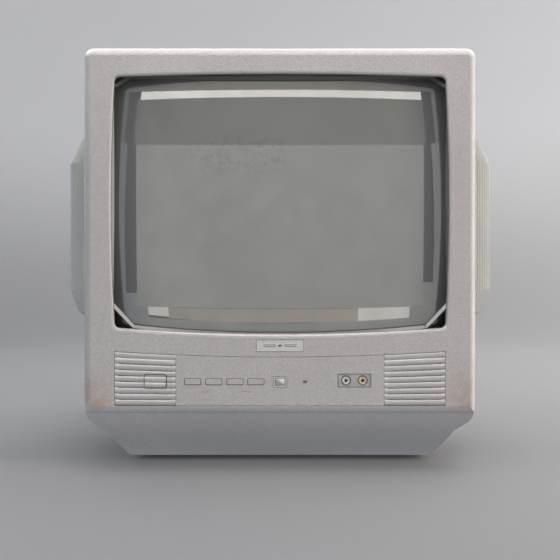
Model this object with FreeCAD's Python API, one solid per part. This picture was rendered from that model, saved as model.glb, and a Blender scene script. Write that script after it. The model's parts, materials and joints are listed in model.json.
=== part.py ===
"""Portable colour television built round a 14 inch, 90 degree cathode ray tube.

Row frame: +Z up, the screen faces -Y, the origin is on the ground under the middle of the set.
All sizes are millimetres. "depth" always counts from the front face of the bezel towards the back.
"""

import FreeCAD
import Part
import math
import os

V = FreeCAD.Vector
X_AXIS = V(1, 0, 0)
Y_AXIS = V(0, 1, 0)
Z_AXIS = V(0, 0, 1)

# ---- driving dimensions: the cabinet ----
SET_DEPTH = 376.0  # front face of the bezel to the back wall
PROUD = 1.2  # how far the power button stands in front of the face
FACE_Y = -(SET_DEPTH - PROUD) / 2  # keeps the origin in the middle of the depth
HALF_WIDTH = 180.0  # of the bezel
TOP_Z = 389.0
BOTTOM_Z = 5.0  # underside of the cabinet, on top of the feet
CHEEK_Z = 78.0  # the sides lean inwards below this height
JOWL = (2.7, 47.0)  # how far inside the side, and how high, the lower corner starts to turn in
SHELF = (17.0, 35.5)  # the same for the top of the narrower plinth
PLINTH_RUN = 33.5  # the plinth's underside ends this far inside the side
EDGE_RADIUS = 8.0  # of the bezel's front edge
TOP_CORNER = 9.0
WALL = 3.0
BEZEL_DEPTH = 62.0
CHIN_TOP_Z = 61.0  # the chin slopes back below this height
CHIN_DEPTH = 52.0
FOOT_RADIUS = 9.0
FOOT_PLACES = [(-118, 88), (118, 88), (-72, 330), (72, 330)]

# ---- the screen opening and the picture tube ----
SCREEN_Z = 247.0
OPEN_HALF = 151.3  # half width at the corners
OPEN_LOW = 132.3 - SCREEN_Z
OPEN_HIGH = 361.8 - SCREEN_Z
OPEN_SIDE_BOW = 3.1  # how far each edge bows outwards
OPEN_LOW_BOW = 5.4
OPEN_HIGH_BOW = 2.6
OPEN_CORNER = 5.0
LIP_ROLL = 2.6  # radius of the opening's rolled edge
LIP_CURVE = [(1.02, -0.01, 1.5), (0.5, 0.14, 0.9), (0.14, 0.5, 0.3), (0.0, 1.0, 0.0)]  # grow, depth, drop
SURROUND_GROW = 5.3  # the surround's wall stands outside the opening, behind the lip
SURROUND_WALL = 2.0
SURROUND_BACK = 49.4
FLANGE_GAP = 1.5  # between the bezel's inside and the surround's flange
WINDOW_HALF = 155.4  # the visible glass, at its corners
WINDOW_LOW = 134.3 - SCREEN_Z
WINDOW_HIGH = 363.4 - SCREEN_Z
WINDOW_BOWS = (-2.0, 7.0, -3.6)  # the sides and top pull in towards their middles
WINDOW_LOW_CUT = (20.0, 21.2)  # its cut corners
WINDOW_HIGH_CUT = (16.6, 9.1)
WINDOW_BEVEL = 3.0
GLASS_DEPTH = 2.5  # middle of the glass behind the face of the bezel
GLASS_RADIUS = 1150.0  # a flattened face
GLASS_WALL = 11.0
TUBE_HALF = 158.0
TUBE_HALF_HEIGHT = 124.0
TUBE_BOW = 3.0
SEAL_DEPTH = 80.0  # where the panel is sealed to the funnel
FUNNEL_WALL = 4.0
NECK_RADIUS = 14.6
NECK_BORE = 12.2
NECK_START = 235.0
NECK_END = 318.0
LUG_X = 161.0
LUG_Z = 127.0
LUG_DEPTH = 54.0
LUG_PILLAR = 6.0
CORE_HOLE = 2.1  # radius of the holes the screws cut their threads in

# ---- the control strip ----
STRIP_LOW = 61.6
STRIP_MID = 105.7  # top of the strip in the middle; it rises towards the ends
STRIP_RISE = 5.1
STRIP_HALF = 150.6
PANEL_HALF = 94.85
JOINT = 0.3  # gap between neighbouring mouldings
RIB_COUNT = 9
RIB_RADIUS = 4.4
RIB_BACKING = 1.1  # depth of the panel behind the ribs, just below the valleys between them
OPEN_SLOTS = 7  # valleys with a slot, counted from the bottom
SLOT_HEIGHT = 0.55
BADGE_Z = 116.2
BADGE_SIZE = (42.9, 10.4)
BUTTON_Z = 83.2
BUTTON_X = {"volume_down": -79.6, "volume_up": -60.4, "channel_down": -41.1, "channel_up": -22.0}
BUTTON_SIZE = (14.3, 4.9)
BUTTON_GAP = 0.3
POWER_X = -113.7
POWER_Z = 83.9
POWER_SIZE = (19.3, 11.2)
POWER_TRAVEL = 4.0
SWITCH_DEPTH = 22.0
SWITCH_EAR = 14.5  # the switch's fixing ears, either side of the button
WINDOW_SIZE = (11.9, 9.3)
LED_X = 22.8
LED_SIZE = (3.6, 2.4)
AV_X = 67.9
AV_Z = 84.4
AV_SIZE = (29.7, 11.5)
JACK_X = (60.3, 75.5)
JACK_BORE = 1.65
CONTROL_BOARD_DEPTH = 14.0
SPEAKER_X = 122.8
SPEAKER_Z = 86.0

# ---- the back ----
CABINET_WALL = 2.8
SHOULDER_DEPTH = 140.0  # the sides and top start to close in here
REAR_START = 300.0
REAR_HALF = 125.0
REAR_TOP = 318.0
VENT_REACH = 215.4  # half width over the ribbed bulges
VENT_FRONT = 62.6
VENT_CREST = 90.0
VENT_BACK = 176.0
VENT_END = 206.0
VENT_LOW = 128.5
VENT_HIGH = 333.0
VENT_RIBS = 13  # upright ribs on the bulge's front slope
VENT_PITCH = 6.2  # spacing of the ribs along its side
SCREW_PLACES = [(-171, 350), (171, 350), (-171, 100), (171, 100), (-131, 17), (131, 17)]
SCREW_PILLAR = 4.4
PILLAR_START = 46.0
WELL_FLOOR = 70.0
BOARD_Z = 20.0
BOARD_HALF = 84.0
BOARD_THICKNESS = 1.6
GLAND_X = 84.0
GLAND_Z = 34.0
GLAND_BORE = 3.75
SCART_X = 30.0
SCART_Z = 42.0
AERIAL_X = -50.0
AERIAL_Z = 46.0


# ---------------------------------------------------------------- helpers
def at(x, depth, z):
    return V(x, FACE_Y + depth, z)


def block(x0, x1, d0, d1, z0, z1):
    return Part.makeBox(x1 - x0, d1 - d0, z1 - z0, at(x0, d0, z0))


def centred(x, z, width, height, d0, d1):
    """A block centred on (x, z), running from depth d0 to d1."""
    return block(x - width / 2, x + width / 2, d0, d1, z - height / 2, z + height / 2)


def rod(radius, x, z, d0, d1):
    """A cylinder along Y."""
    return Part.makeCylinder(radius, d1 - d0, at(x, d0, z), Y_AXIS)


def ring(outer, inner, x, z, d0, d1):
    """A tube along Y."""
    return rod(outer, x, z, d0, d1).cut(rod(inner, x, z, d0 - 1, d1 + 1))


def post(radius, x, depth, z0, z1):
    """A cylinder along Z."""
    return Part.makeCylinder(radius, z1 - z0, at(x, depth, z0), Z_AXIS)


def fuse(first, *others):
    return first.multiFuse(list(others)).removeSplitter()


def bent(start, middle, end):
    return Part.Arc(start, middle, end).toShape()


def line(start, end):
    return Part.LineSegment(start, end).toShape()


def rounded_wire(points, radii, depth):
    """A closed outline in the XZ plane with each corner rounded by its own radius."""
    corners = []
    count = len(points)
    for i in range(count):
        here = at(points[i][0], depth, points[i][1])
        before = at(points[i - 1][0], depth, points[i - 1][1]) - here
        after = at(points[(i + 1) % count][0], depth, points[(i + 1) % count][1]) - here
        before.normalize()
        after.normalize()
        half_angle = before.getAngle(after) / 2
        reach = radii[i] / math.tan(half_angle)
        bisector = before + after
        bisector.normalize()
        middle = here + bisector * (radii[i] / math.sin(half_angle) - radii[i])
        corners.append((here + before * reach, middle, here + after * reach))
    edges = []
    for i in range(count):
        start, middle, end = corners[i]
        edges.append(bent(start, middle, end))
        edges.append(line(end, corners[(i + 1) % count][0]))
    return Part.Wire(edges)


def prism(wire, length):
    return Part.Face(wire).extrude(V(0, length, 0))


def plate(x, z, width, height, radius, d0, d1):
    """A plate with rounded corners, centred on (x, z)."""
    a, b = width / 2, height / 2
    points = [(x - a, z - b), (x + a, z - b), (x + a, z + b), (x - a, z + b)]
    return prism(rounded_wire(points, [radius] * 4, d0), d1 - d0)


def front_edges(solid, depth):
    """The edges of a solid that lie wholly in the plane at a depth."""
    return [e for e in solid.Edges if all(abs(v.Y - FACE_Y - depth) < 1e-6 for v in e.Vertexes)]


def barrel_wire(half, low, high, bows, low_cut, high_cut, depth, round_corner=True):
    """Screen-shaped outline about (0, SCREEN_Z): four bowed edges joined by four corner edges."""
    side_bow, low_bow, high_bow = bows
    centre = (low + high) / 2

    def p(x, z):
        return at(x, depth, SCREEN_Z + z)

    def corner(sx, z, sz, cut, reverse):
        a = p(sx * half, z - sz * cut[1])
        b = p(sx * (half - cut[0]), z)
        middle = p(sx * (half - 0.29 * cut[0]), z - sz * 0.29 * cut[1])
        if reverse:
            a, b = b, a
        return bent(a, middle, b) if round_corner else line(a, b)

    reach, high_reach = half - low_cut[0], half - high_cut[0]
    floor, ceiling = low + low_cut[1], high - high_cut[1]
    edges = [
        bent(p(half, floor), p(half + side_bow, centre), p(half, ceiling)),
        corner(1, high, 1, high_cut, False),
        bent(p(high_reach, high), p(0, high + high_bow), p(-high_reach, high)),
        corner(-1, high, 1, high_cut, True),
        bent(p(-half, ceiling), p(-half - side_bow, centre), p(-half, floor)),
        corner(-1, low, -1, low_cut, False),
        bent(p(-reach, low), p(0, low - low_bow), p(reach, low)),
        corner(1, low, -1, low_cut, True),
    ]
    return Part.Wire(edges)


def opening_wire(grow, depth, extra=0.0):
    """The screen opening, grown outwards by a margin and bowed downwards by some extra."""
    bows = (OPEN_SIDE_BOW, OPEN_LOW_BOW + extra, OPEN_HIGH_BOW)
    cut = (OPEN_CORNER + grow, OPEN_CORNER + grow)
    return barrel_wire(OPEN_HALF + grow, OPEN_LOW - grow, OPEN_HIGH + grow, bows, cut, cut, depth)


def tube_wire(inset, depth):
    """The outline of the tube's panel, moved inwards by inset."""
    half, height = TUBE_HALF - inset, TUBE_HALF_HEIGHT - inset
    cut = (max(26.0 - 0.6 * inset, 8.0),) * 2
    return barrel_wire(half, -height, height, (TUBE_BOW,) * 3, cut, cut, depth)


def dome(radius, front_depth):
    """A sphere whose front pole is at front_depth on the tube's axis."""
    return Part.makeSphere(radius, at(0, front_depth + radius, SCREEN_Z))


def shell_of_revolution(profile):
    """Turns a closed (depth, radius) outline round the tube's axis."""
    points = [V(r, FACE_Y + d, SCREEN_Z) for d, r in profile]
    face = Part.Face(Part.makePolygon(points + [points[0]]))
    return face.revolve(V(0, 0, SCREEN_Z), Y_AXIS, 360)


def sector(solid, start_deg, sweep_deg, reach=90.0):
    """Keeps the part of a solid between two angles round the tube's axis."""
    span = (at(0, 0, SCREEN_Z), at(0, SET_DEPTH, SCREEN_Z))
    wedge = Part.makeCylinder(reach, (span[1] - span[0]).Length, span[0], Y_AXIS, sweep_deg)
    wedge.rotate(span[0], Y_AXIS, start_deg)
    return solid.common(wedge)


def lead(points, radius):
    """A cable of straight runs joined by arcs as large as the runs allow."""
    joints = []
    for before, here, after in zip(points, points[1:], points[2:]):
        u, w = before - here, after - here
        shorter = min(u.Length, w.Length)
        u.normalize()
        w.normalize()
        half_angle = u.getAngle(w) / 2
        reach = 0.45 * shorter
        bend = reach * math.tan(half_angle)
        bisector = u + w
        bisector.normalize()
        middle = here + bisector * (bend / math.sin(half_angle) - bend)
        joints.append((here + u * reach, middle, here + w * reach))
    edges = []
    last = points[0]
    for start, middle, end in joints:
        edges.append(line(last, start))
        edges.append(bent(start, middle, end))
        last = end
    edges.append(line(last, points[-1]))
    path = Part.Wire(edges)
    section = Part.Wire(Part.makeCircle(radius, points[0], points[1] - points[0]))
    return path.makePipeShell([section], True, False)


# ---------------------------------------------------------------- cabinet outline
def moved_inwards(points, inset):
    """A closed outline, clockwise as seen from the front, with every edge moved inwards by a distance."""
    moved = []
    for i, (x, z) in enumerate(points):
        before, after = points[i - 1], points[(i + 1) % len(points)]
        arriving = math.atan2(z - before[1], x - before[0])
        leaving = math.atan2(after[1] - z, after[0] - x)
        normals = [(math.sin(turn), -math.cos(turn)) for turn in (arriving, leaving)]
        (a, b), (c, d) = normals
        share = inset / (1 + a * c + b * d)
        moved.append((x + share * (a + c), z + share * (b + d)))
    return moved


def body_wire(half, top, inset, depth, corner=TOP_CORNER):
    """The body with its leaning lower cheeks and narrower plinth, seen from the front."""
    right = [(half, top), (half, CHEEK_Z), (half - JOWL[0], JOWL[1]), (half - SHELF[0], SHELF[1])]
    right.append((half - PLINTH_RUN, BOTTOM_Z))
    left = [(-x, z) for x, z in reversed(right)]
    radii = [corner, 60.0, 14.0 - inset, 2.0 + inset, 1.5]
    return rounded_wire(moved_inwards(right + left, inset), radii + radii[::-1], depth)


def chin_cutter(shift_depth, shift_z):
    """Everything in front of and below the chin's sloping face."""
    curve = [(0.0, CHIN_TOP_Z), (1.0, 57.6), (3.6, 54.2), (24.5, 28.0), (CHIN_DEPTH, BOTTOM_Z)]
    p = [at(-220, d + shift_depth, z + shift_z) for d, z in curve]
    low, far = V(0, 0, -40), V(0, -40, 0)
    edges = [
        bent(p[0], p[1], p[2]),
        bent(p[2], p[3], p[4]),
        line(p[4], p[4] + low),
        line(p[4] + low, p[4] + low + V(0, -CHIN_DEPTH, 0) + far),
        line(p[4] + low + V(0, -CHIN_DEPTH, 0) + far, p[0] + far),
        line(p[0] + far, p[0]),
    ]
    return Part.Face(Part.Wire(edges)).extrude(V(440, 0, 0))


def strip_top(x):
    return STRIP_MID + STRIP_RISE * (x / STRIP_HALF) ** 2


def strip_piece(x0, x1, grow, d0, d1):
    """A length of the control strip, whose top edge is one long arc."""
    middle = (x0 + x1) / 2
    left, right = x0 - grow, x1 + grow
    low = STRIP_LOW - grow
    edges = [
        line(at(left, d0, low), at(right, d0, low)),
        line(at(right, d0, low), at(right, d0, strip_top(right) + grow)),
        bent(
            at(right, d0, strip_top(right) + grow),
            at(middle, d0, strip_top(middle) + grow),
            at(left, d0, strip_top(left) + grow),
        ),
        line(at(left, d0, strip_top(left) + grow), at(left, d0, low)),
    ]
    return prism(Part.Wire(edges), d1 - d0)


# ---------------------------------------------------------------- the front
def front_bezel():
    slab_low = -40  # well below the chin, which is cut off later
    slab = [(-HALF_WIDTH, slab_low), (HALF_WIDTH, slab_low), (HALF_WIDTH, TOP_Z), (-HALF_WIDTH, TOP_Z)]
    body = prism(rounded_wire(slab, [1, 1, TOP_CORNER, TOP_CORNER], 0), BEZEL_DEPTH)
    front = [e for e in front_edges(body, 0) if e.BoundBox.ZMax > slab_low + 2]
    body = body.makeFillet(EDGE_RADIUS, front)
    body = body.common(prism(body_wire(HALF_WIDTH, TOP_Z, 0, -1), BEZEL_DEPTH + 2))
    body = body.cut(chin_cutter(0, 0))

    hollow = prism(body_wire(HALF_WIDTH, TOP_Z, WALL, 6), BEZEL_DEPTH)
    nose = prism(body_wire(HALF_WIDTH, TOP_Z, WALL + 3, WALL), 5)
    hollow = hollow.fuse(nose).cut(chin_cutter(WALL, 1.5))
    body = body.cut(hollow)

    body = body.cut(prism(opening_wire(0, -1), WALL + 2))
    steps = [opening_wire(LIP_ROLL * grow, LIP_ROLL * depth, extra=drop) for grow, depth, drop in LIP_CURVE]
    for outer, inner in zip(steps, steps[1:]):
        body = body.cut(Part.makeLoft([outer, inner], True, True))
    body = body.cut(strip_piece(-STRIP_HALF, STRIP_HALF, JOINT, -1, WALL + 1))
    width, height = (size + 0.4 for size in BADGE_SIZE)
    body = body.cut(plate(0, BADGE_Z, width, height, 0.6, -1, 1.2))

    for sx in (-1, 1):
        for z in (SCREEN_Z - LUG_Z, SCREEN_Z + LUG_Z):
            pillar = rod(LUG_PILLAR, sx * LUG_X, z, WALL - 0.5, LUG_DEPTH - 0.1)
            body = body.fuse(pillar).cut(rod(CORE_HOLE, sx * LUG_X, z, 22, LUG_DEPTH + 1))
    start = PILLAR_START
    for x, z in SCREW_PLACES:
        pillar = rod(SCREW_PILLAR, x, z, start, WELL_FLOOR - 0.2)
        side = math.copysign(HALF_WIDTH - 1, x)
        web = block(min(x, side), max(x, side), start, BEZEL_DEPTH, z - 1.5, z + 1.5)
        if z < SHELF[1]:
            web = block(x - 1.5, x + 1.5, CHIN_DEPTH + 2, BEZEL_DEPTH, BOTTOM_Z + 1, z)
        body = body.fuse(pillar).fuse(web).cut(rod(CORE_HOLE, x, z, start + 3, WELL_FLOOR))
    return body.removeSplitter()


def window_wire(grow):
    """The visible glass with its cut corners, grown outwards by a margin."""
    half, low, high = WINDOW_HALF + grow, WINDOW_LOW - grow, WINDOW_HIGH + grow
    return barrel_wire(half, low, high, WINDOW_BOWS, WINDOW_LOW_CUT, WINDOW_HIGH_CUT, 0, False)


def before_glass(gap):
    """Everything further than a gap in front of the glass, as the inside of a sphere to cut away."""
    return dome(GLASS_RADIUS + gap, GLASS_DEPTH - gap)


def screen_surround():
    """The dark reveal: a wall behind the lip, and a flange that follows the glass to a bevelled window."""
    front = WALL + 0.05
    wall = prism(opening_wire(SURROUND_GROW + SURROUND_WALL, front), SURROUND_BACK - front)
    wall = wall.cut(prism(opening_wire(SURROUND_GROW, 0), 70))
    flange = prism(opening_wire(SURROUND_GROW + 1, front + FLANGE_GAP), SURROUND_BACK - front - FLANGE_GAP)
    flange = flange.common(before_glass(4.3)).cut(prism(window_wire(0), 70))
    steps = 3
    for i in range(steps):
        grow = WINDOW_BEVEL * (i + 1) / steps
        layer = before_glass(4.5).cut(before_glass(1.3 + WINDOW_BEVEL * i / steps))
        flange = flange.cut(prism(window_wire(grow), 70).common(layer))
    return wall.fuse(flange).cut(before_glass(0.3)).removeSplitter()


def rib_line(share, x0, x1, depth):
    """Start and end of a level line across the strip, at a share of its height."""
    return [at(x, depth, STRIP_LOW + share * (strip_top(x) - STRIP_LOW)) for x in (x0, x1)]


def ribs(x0, x1):
    """Nine rounded ribs that fan out towards the outer end."""
    bars = []
    for i in range(RIB_COUNT):
        start, end = rib_line((i + 0.5) / RIB_COUNT, x0 - 2, x1 + 2, RIB_RADIUS)
        bars.append(Part.makeCylinder(RIB_RADIUS, (end - start).Length, start, end - start))
    return bars[0].multiFuse(bars[1:]).common(strip_piece(x0, x1, 0, 0, WALL))


def grille(x0, x1):
    """A ribbed panel with fine slots between its lower ribs."""
    backing = strip_piece(x0, x1, 0, RIB_BACKING, WALL)
    flange = strip_piece(x0, x1, 0, WALL, WALL + 1.6)
    slots = []
    for i in range(1, OPEN_SLOTS + 1):
        start, end = rib_line(i / RIB_COUNT, x0 + 3, x1 - 3, 0)
        half_slot = V(0, 0, SLOT_HEIGHT / 2)
        corners = [start - half_slot, end - half_slot, end + half_slot, start + half_slot]
        slots.append(Part.Face(Part.makePolygon(corners + corners[:1])).extrude(V(0, 8, 0)))
    body = backing.fuse(ribs(x0, x1)).fuse(flange)
    return body.cut(slots[0].multiFuse(slots[1:]))


def left_grille():
    body = grille(-STRIP_HALF, -PANEL_HALF - JOINT)
    width, height = POWER_SIZE
    frame = plate(POWER_X, POWER_Z, width + 4.0, height + 4.0, 2.6, RIB_BACKING, WALL + 5)
    opening = plate(POWER_X, POWER_Z, width + 0.7, height + 0.7, 1.9, -1, WALL + 9)
    posts = [rod(2.5, POWER_X + dx, POWER_Z, WALL, SWITCH_DEPTH + 1.95) for dx in (-SWITCH_EAR, SWITCH_EAR)]
    return fuse(body, frame, *posts).cut(opening)


def right_grille():
    return grille(PANEL_HALF + JOINT, STRIP_HALF).removeSplitter()


def control_panel():
    body = strip_piece(-PANEL_HALF, PANEL_HALF, 0, 0, WALL)
    body = body.fuse(strip_piece(-PANEL_HALF, PANEL_HALF, 0, WALL, WALL + 1.6))
    for x in BUTTON_X.values():
        width, height = (s + 2 * BUTTON_GAP for s in BUTTON_SIZE)
        body = body.cut(plate(x, BUTTON_Z, width, height, 0.9, -1, 9))
    width, height = (s + 0.3 for s in WINDOW_SIZE)
    body = body.cut(plate(0, BUTTON_Z, width, height, 0.6, -1, 9))
    width, height = (s + 0.2 for s in LED_SIZE)
    body = body.cut(plate(LED_X, BUTTON_Z, width, height, 0.3, -1, 9))
    width, height = (s + 0.3 for s in AV_SIZE)
    body = body.cut(plate(AV_X, AV_Z, width, height, 0.6, -1, 9))
    posts = [rod(2.2, x, 93, WALL, CONTROL_BOARD_DEPTH - 0.05) for x in (-86, -50, 38, 87)]
    return fuse(body, *posts)


def badge_plate():
    """A plate with a raised border."""
    width, height = BADGE_SIZE
    body = plate(0, BADGE_Z, width, height, 0.5, -0.5, 1.15)
    return body.cut(plate(0, BADGE_Z, width - 2, height - 2, 0.4, -1, -0.2))


def button(x):
    """A cap with a retaining flange and a stem that reaches its tact switch."""
    width, height = BUTTON_SIZE
    cap = plate(x, BUTTON_Z, width, height, 0.7, -0.7, 6)
    rim = front_edges(cap, -0.7)
    cap = cap.makeFillet(0.45, rim)
    flange = plate(x, BUTTON_Z, width + 2.4, height + 2.4, 0.6, WALL + 1.65, 6)
    stem = rod(1.6, x, BUTTON_Z, 5.5, 11.3)
    return fuse(cap, flange, stem)


def power_button():
    """The grille's ribs run on across its face, a little prouder."""
    width, height = POWER_SIZE
    cap = plate(POWER_X, POWER_Z, width, height, 1.6, RIB_BACKING - PROUD, 10)
    crests = ribs(-STRIP_HALF, -PANEL_HALF - JOINT)
    crests.translate(V(0, -PROUD - 0.05, 0))
    crests = crests.common(plate(POWER_X, POWER_Z, width, height, 1.6, -PROUD, RIB_BACKING))
    flange = plate(POWER_X, POWER_Z, width + 3, height + 3, 1.5, WALL + 5.05, 10)
    stem = centred(POWER_X, POWER_Z, 4, 4, 9.5, 30)
    return fuse(cap, crests, flange, stem)


def ir_window():
    """A framed window with a raised clear lens for the remote-control receiver."""
    width, height = WINDOW_SIZE
    frame = plate(0, BUTTON_Z, width, height, 0.5, -0.6, 5)
    frame = frame.cut(plate(0, BUTTON_Z, width - 2.4, height - 2.4, 0.4, -1, 0.6))
    lens = plate(0, BUTTON_Z, width - 3.4, height - 3.4, 0.6, -0.4, 1.4)
    rim = front_edges(lens, -0.4)
    return fuse(frame, lens.makeFillet(0.5, rim))


def standby_led():
    width, height = LED_SIZE
    head = plate(LED_X, BUTTON_Z, width, height, 0.25, -0.2, 6)
    return fuse(head, rod(1.6, LED_X, BUTTON_Z, 5.5, 13.9))


def av_plate():
    width, height = AV_SIZE
    body = plate(AV_X, AV_Z, width, height, 0.5, 0.6, 5)
    for x in JACK_X:
        body = body.cut(rod(4.7, x, AV_Z, -1, 9))
    return body


def phono_jack(x):
    """A phono socket: outer contact sleeve, insulator with its bore, and a moulded body."""
    sleeve = ring(4.15, 3.75, x, AV_Z, 0.9, 12)
    insulator = rod(3.4, x, AV_Z, 1.1, 12)
    body = centred(x, AV_Z, 11.4, 10.6, 11, 15.4)
    return fuse(sleeve, insulator, body).cut(rod(JACK_BORE, x, AV_Z, 0, 10))


def speaker_frame():
    """Pressed basket with its magnet and front gasket."""
    x, z = SPEAKER_X, SPEAKER_Z
    front = WALL + 1.65
    rim = ring(26.0, 21.6, x, z, front, front + 3)
    cup = Part.makeCone(24.5, 15, 16, at(x, front + 2, z), Y_AXIS)
    cup = cup.cut(Part.makeCone(23.4, 13.7, 16.2, at(x, front + 1.9, z), Y_AXIS))
    legs = block(x - 30, x + 30, front + 4, front + 15, z - 4, z + 4)
    legs = legs.fuse(block(x - 4, x + 4, front + 4, front + 15, z - 30, z + 30))
    cup = cup.cut(cup.cut(legs).common(block(x - 40, x + 40, front + 4, front + 15, z - 40, z + 40)))
    plate_back = ring(15.0, 7.0, x, z, front + 18, front + 20.5)
    magnet = ring(17.0, 9.0, x, z, front + 20.5, front + 29)
    yoke = rod(16.0, x, z, front + 29, front + 32)
    pole = rod(5.6, x, z, front + 17, front + 30)
    return fuse(rim, cup, plate_back, magnet, yoke, pole)


def speaker_cone():
    """Paper cone, dust cap and voice-coil former: the part that moves."""
    x, z = SPEAKER_X, SPEAKER_Z
    front = WALL + 4.3
    skin = Part.makeCone(21.0, 8.0, 11, at(x, front, z), Y_AXIS)
    skin = skin.cut(Part.makeCone(20.2, 7.2, 11, at(x, front - 0.01, z), Y_AXIS))
    cap = Part.makeSphere(13.0, at(x, front + 18.5, z))
    cap = cap.cut(Part.makeSphere(12.3, at(x, front + 18.5, z)))
    cap = cap.common(rod(10.2, x, z, front, front + 10.3))
    former = ring(6.5, 6.0, x, z, front + 9.5, front + 20)
    collar = ring(8.0, 6.0, x, z, front + 10.2, front + 11)
    return fuse(skin, cap, former, collar)


# ---------------------------------------------------------------- the back
def closing(depth):
    """Half width and top height of the rear cabinet at a depth: full, then a smooth taper."""
    share = min(max((depth - SHOULDER_DEPTH) / (REAR_START - SHOULDER_DEPTH), 0.0), 1.0)
    ease = share * share * (3 - 2 * share)
    tail = max(depth - REAR_START, 0.0) * 0.05
    half = HALF_WIDTH - 1.5 - ease * (HALF_WIDTH - 1.5 - REAR_HALF) - tail
    top = TOP_Z - 1.5 - ease * (TOP_Z - 1.5 - REAR_TOP) - tail
    return half, top


def cabinet_loft(inset, last_depth):
    """The main shape of the rear cabinet, or its hollow when inset is the wall."""
    depths = [BEZEL_DEPTH, SHOULDER_DEPTH] + [SHOULDER_DEPTH + 16 * i for i in range(1, 11)]
    depths += [last_depth - 5, last_depth]
    if inset:
        depths[0] = BEZEL_DEPTH - 1
    wires = []
    for d in depths:
        half, top = closing(d)
        round_off = 3.5 if d == last_depth else 0.0
        corner = 9.0 + 9.0 * min(max((d - SHOULDER_DEPTH) / 100, 0), 1) - inset
        wires.append(body_wire(half - round_off, top - round_off, inset, d, corner))
    return Part.makeLoft(wires, True, True)


def bulge_reach(depth):
    """How far the ribbed side bulge reaches from the centre line at a depth."""
    root = closing(depth)[0]
    if depth < VENT_CREST:
        share = (depth - VENT_FRONT) / (VENT_CREST - VENT_FRONT)
        return root + (VENT_REACH - root) * (1 - (1 - share) ** 1.5)
    fall = 6.0
    if depth < VENT_BACK:
        return VENT_REACH - fall * ((depth - VENT_CREST) / (VENT_BACK - VENT_CREST)) ** 2
    share = (depth - VENT_BACK) / (VENT_END - VENT_BACK)
    return root + (VENT_REACH - fall - root) * (1 - share)


def bulge_wire(side, depth, inset):
    """The bulge's outline at a depth: a hump with two slopes above and two below."""
    root = closing(depth)[0]
    rise = max(bulge_reach(depth) - root, 0.5)
    upper = [(0.0, VENT_HIGH), (0.68, VENT_HIGH - 12.5), (1.0, VENT_HIGH - 38.0)]
    lower = [(1.0, VENT_LOW + 38.0), (0.77, VENT_LOW + 15.0), (0.0, VENT_LOW)]
    points = [(root - 6.0, VENT_HIGH + 3.0 - inset)]
    points += [(root + share * rise - inset, z - inset * (0.9 - 0.45 * share)) for share, z in upper]
    points += [(root + share * rise - inset, z + inset * (0.9 - 0.45 * share)) for share, z in lower]
    points.append((root - 6.0, VENT_LOW - 3.0 + inset))
    flat = [at(side * x, depth, z) for x, z in points]
    return Part.makePolygon(flat + flat[:1])


def bulge(side, inset):
    slope = [VENT_FRONT + (VENT_CREST - VENT_FRONT) * i / 7 for i in range(7)]
    flank = [VENT_CREST + (VENT_BACK - VENT_CREST) * i / 4 for i in range(5)]
    return Part.makeLoft([bulge_wire(side, d, inset) for d in slope + flank + [VENT_END]], True, True)


def rib_grooves(side):
    """Thin frames that cut grooves into the bulge and leave upright ribs, evenly spaced from the front."""
    length = VENT_CREST - VENT_FRONT
    slope = [VENT_FRONT + length * (1 - (1 - i / VENT_RIBS) ** (2 / 3)) for i in range(1, VENT_RIBS)]
    flank = [VENT_CREST + 3.5 + VENT_PITCH * i for i in range(14)]
    frames = []
    for depth in slope + flank:
        width = 0.8 if depth < VENT_CREST else 2.2
        cut = 1.2 if depth < VENT_CREST else 0.9
        core = prism(bulge_wire(side, depth, cut), width)
        frames.append(prism(bulge_wire(side, depth, -3.0), width).cut(core))
    return frames[0].multiFuse(frames[1:])


def rear_cabinet():
    body = cabinet_loft(0, SET_DEPTH)
    hollow = cabinet_loft(CABINET_WALL, SET_DEPTH - CABINET_WALL)
    root = cabinet_loft(-1.2, VENT_END + 20)
    for side in (-1, 1):
        body = body.fuse(bulge(side, 0).cut(rib_grooves(side).cut(root)))
        hollow = hollow.fuse(bulge(side, CABINET_WALL + 1.8))
    whole = body
    body = body.cut(hollow)

    for x, z in SCREW_PLACES:
        well = rod(6.9, x, z, WELL_FLOOR, SET_DEPTH).common(whole)
        body = body.fuse(well)
        body = body.cut(rod(4.8, x, z, WELL_FLOOR + 3, SET_DEPTH + 5))
        body = body.cut(rod(2.4, x, z, WELL_FLOOR - 1, WELL_FLOOR + 4))

    slots = []
    for i in range(15):
        x = -91 + 13 * i
        slots.append(centred(x, 272, 3.4, 46, SET_DEPTH - 12, SET_DEPTH + 2))
        slots.append(centred(x, 212, 3.4, 46, SET_DEPTH - 12, SET_DEPTH + 2))
    for i in range(13):
        x = -84 + 14 * i
        slots.append(block(x - 1.7, x + 1.7, 196, 252, 300, 400))
    for side in (-1, 1):
        for i in range(7):
            d = VENT_CREST + 3.5 + 2 * VENT_PITCH * i
            x0, x1 = sorted((side * (VENT_REACH - 16), side * (VENT_REACH + 4)))
            slots.append(block(x0, x1, d, d + 2.2, 186, 276))
    slots.append(centred(SCART_X, SCART_Z, 48, 17, SET_DEPTH - 12, SET_DEPTH + 2))
    slots.append(rod(7.2, AERIAL_X, AERIAL_Z, SET_DEPTH - 12, SET_DEPTH + 2))
    slots.append(rod(7.0, GLAND_X, GLAND_Z, SET_DEPTH - 12, SET_DEPTH + 2))
    return body.cut(slots[0].multiFuse(slots[1:]))


def rear_screws():
    """Six long cabinet screws with cross recesses, sitting at the bottom of their wells."""
    screws = []
    for x, z in SCREW_PLACES:
        seat = WELL_FLOOR + 3.0
        head = rod(4.2, x, z, seat, seat + 3)
        cross = centred(x, z, 4.6, 0.9, seat + 1.4, seat + 4)
        cross = cross.fuse(centred(x, z, 0.9, 4.6, seat + 1.4, seat + 4))
        shank = rod(2.0, x, z, seat - 20, seat)
        screws.append(head.fuse(shank).cut(cross))
    return screws


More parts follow.
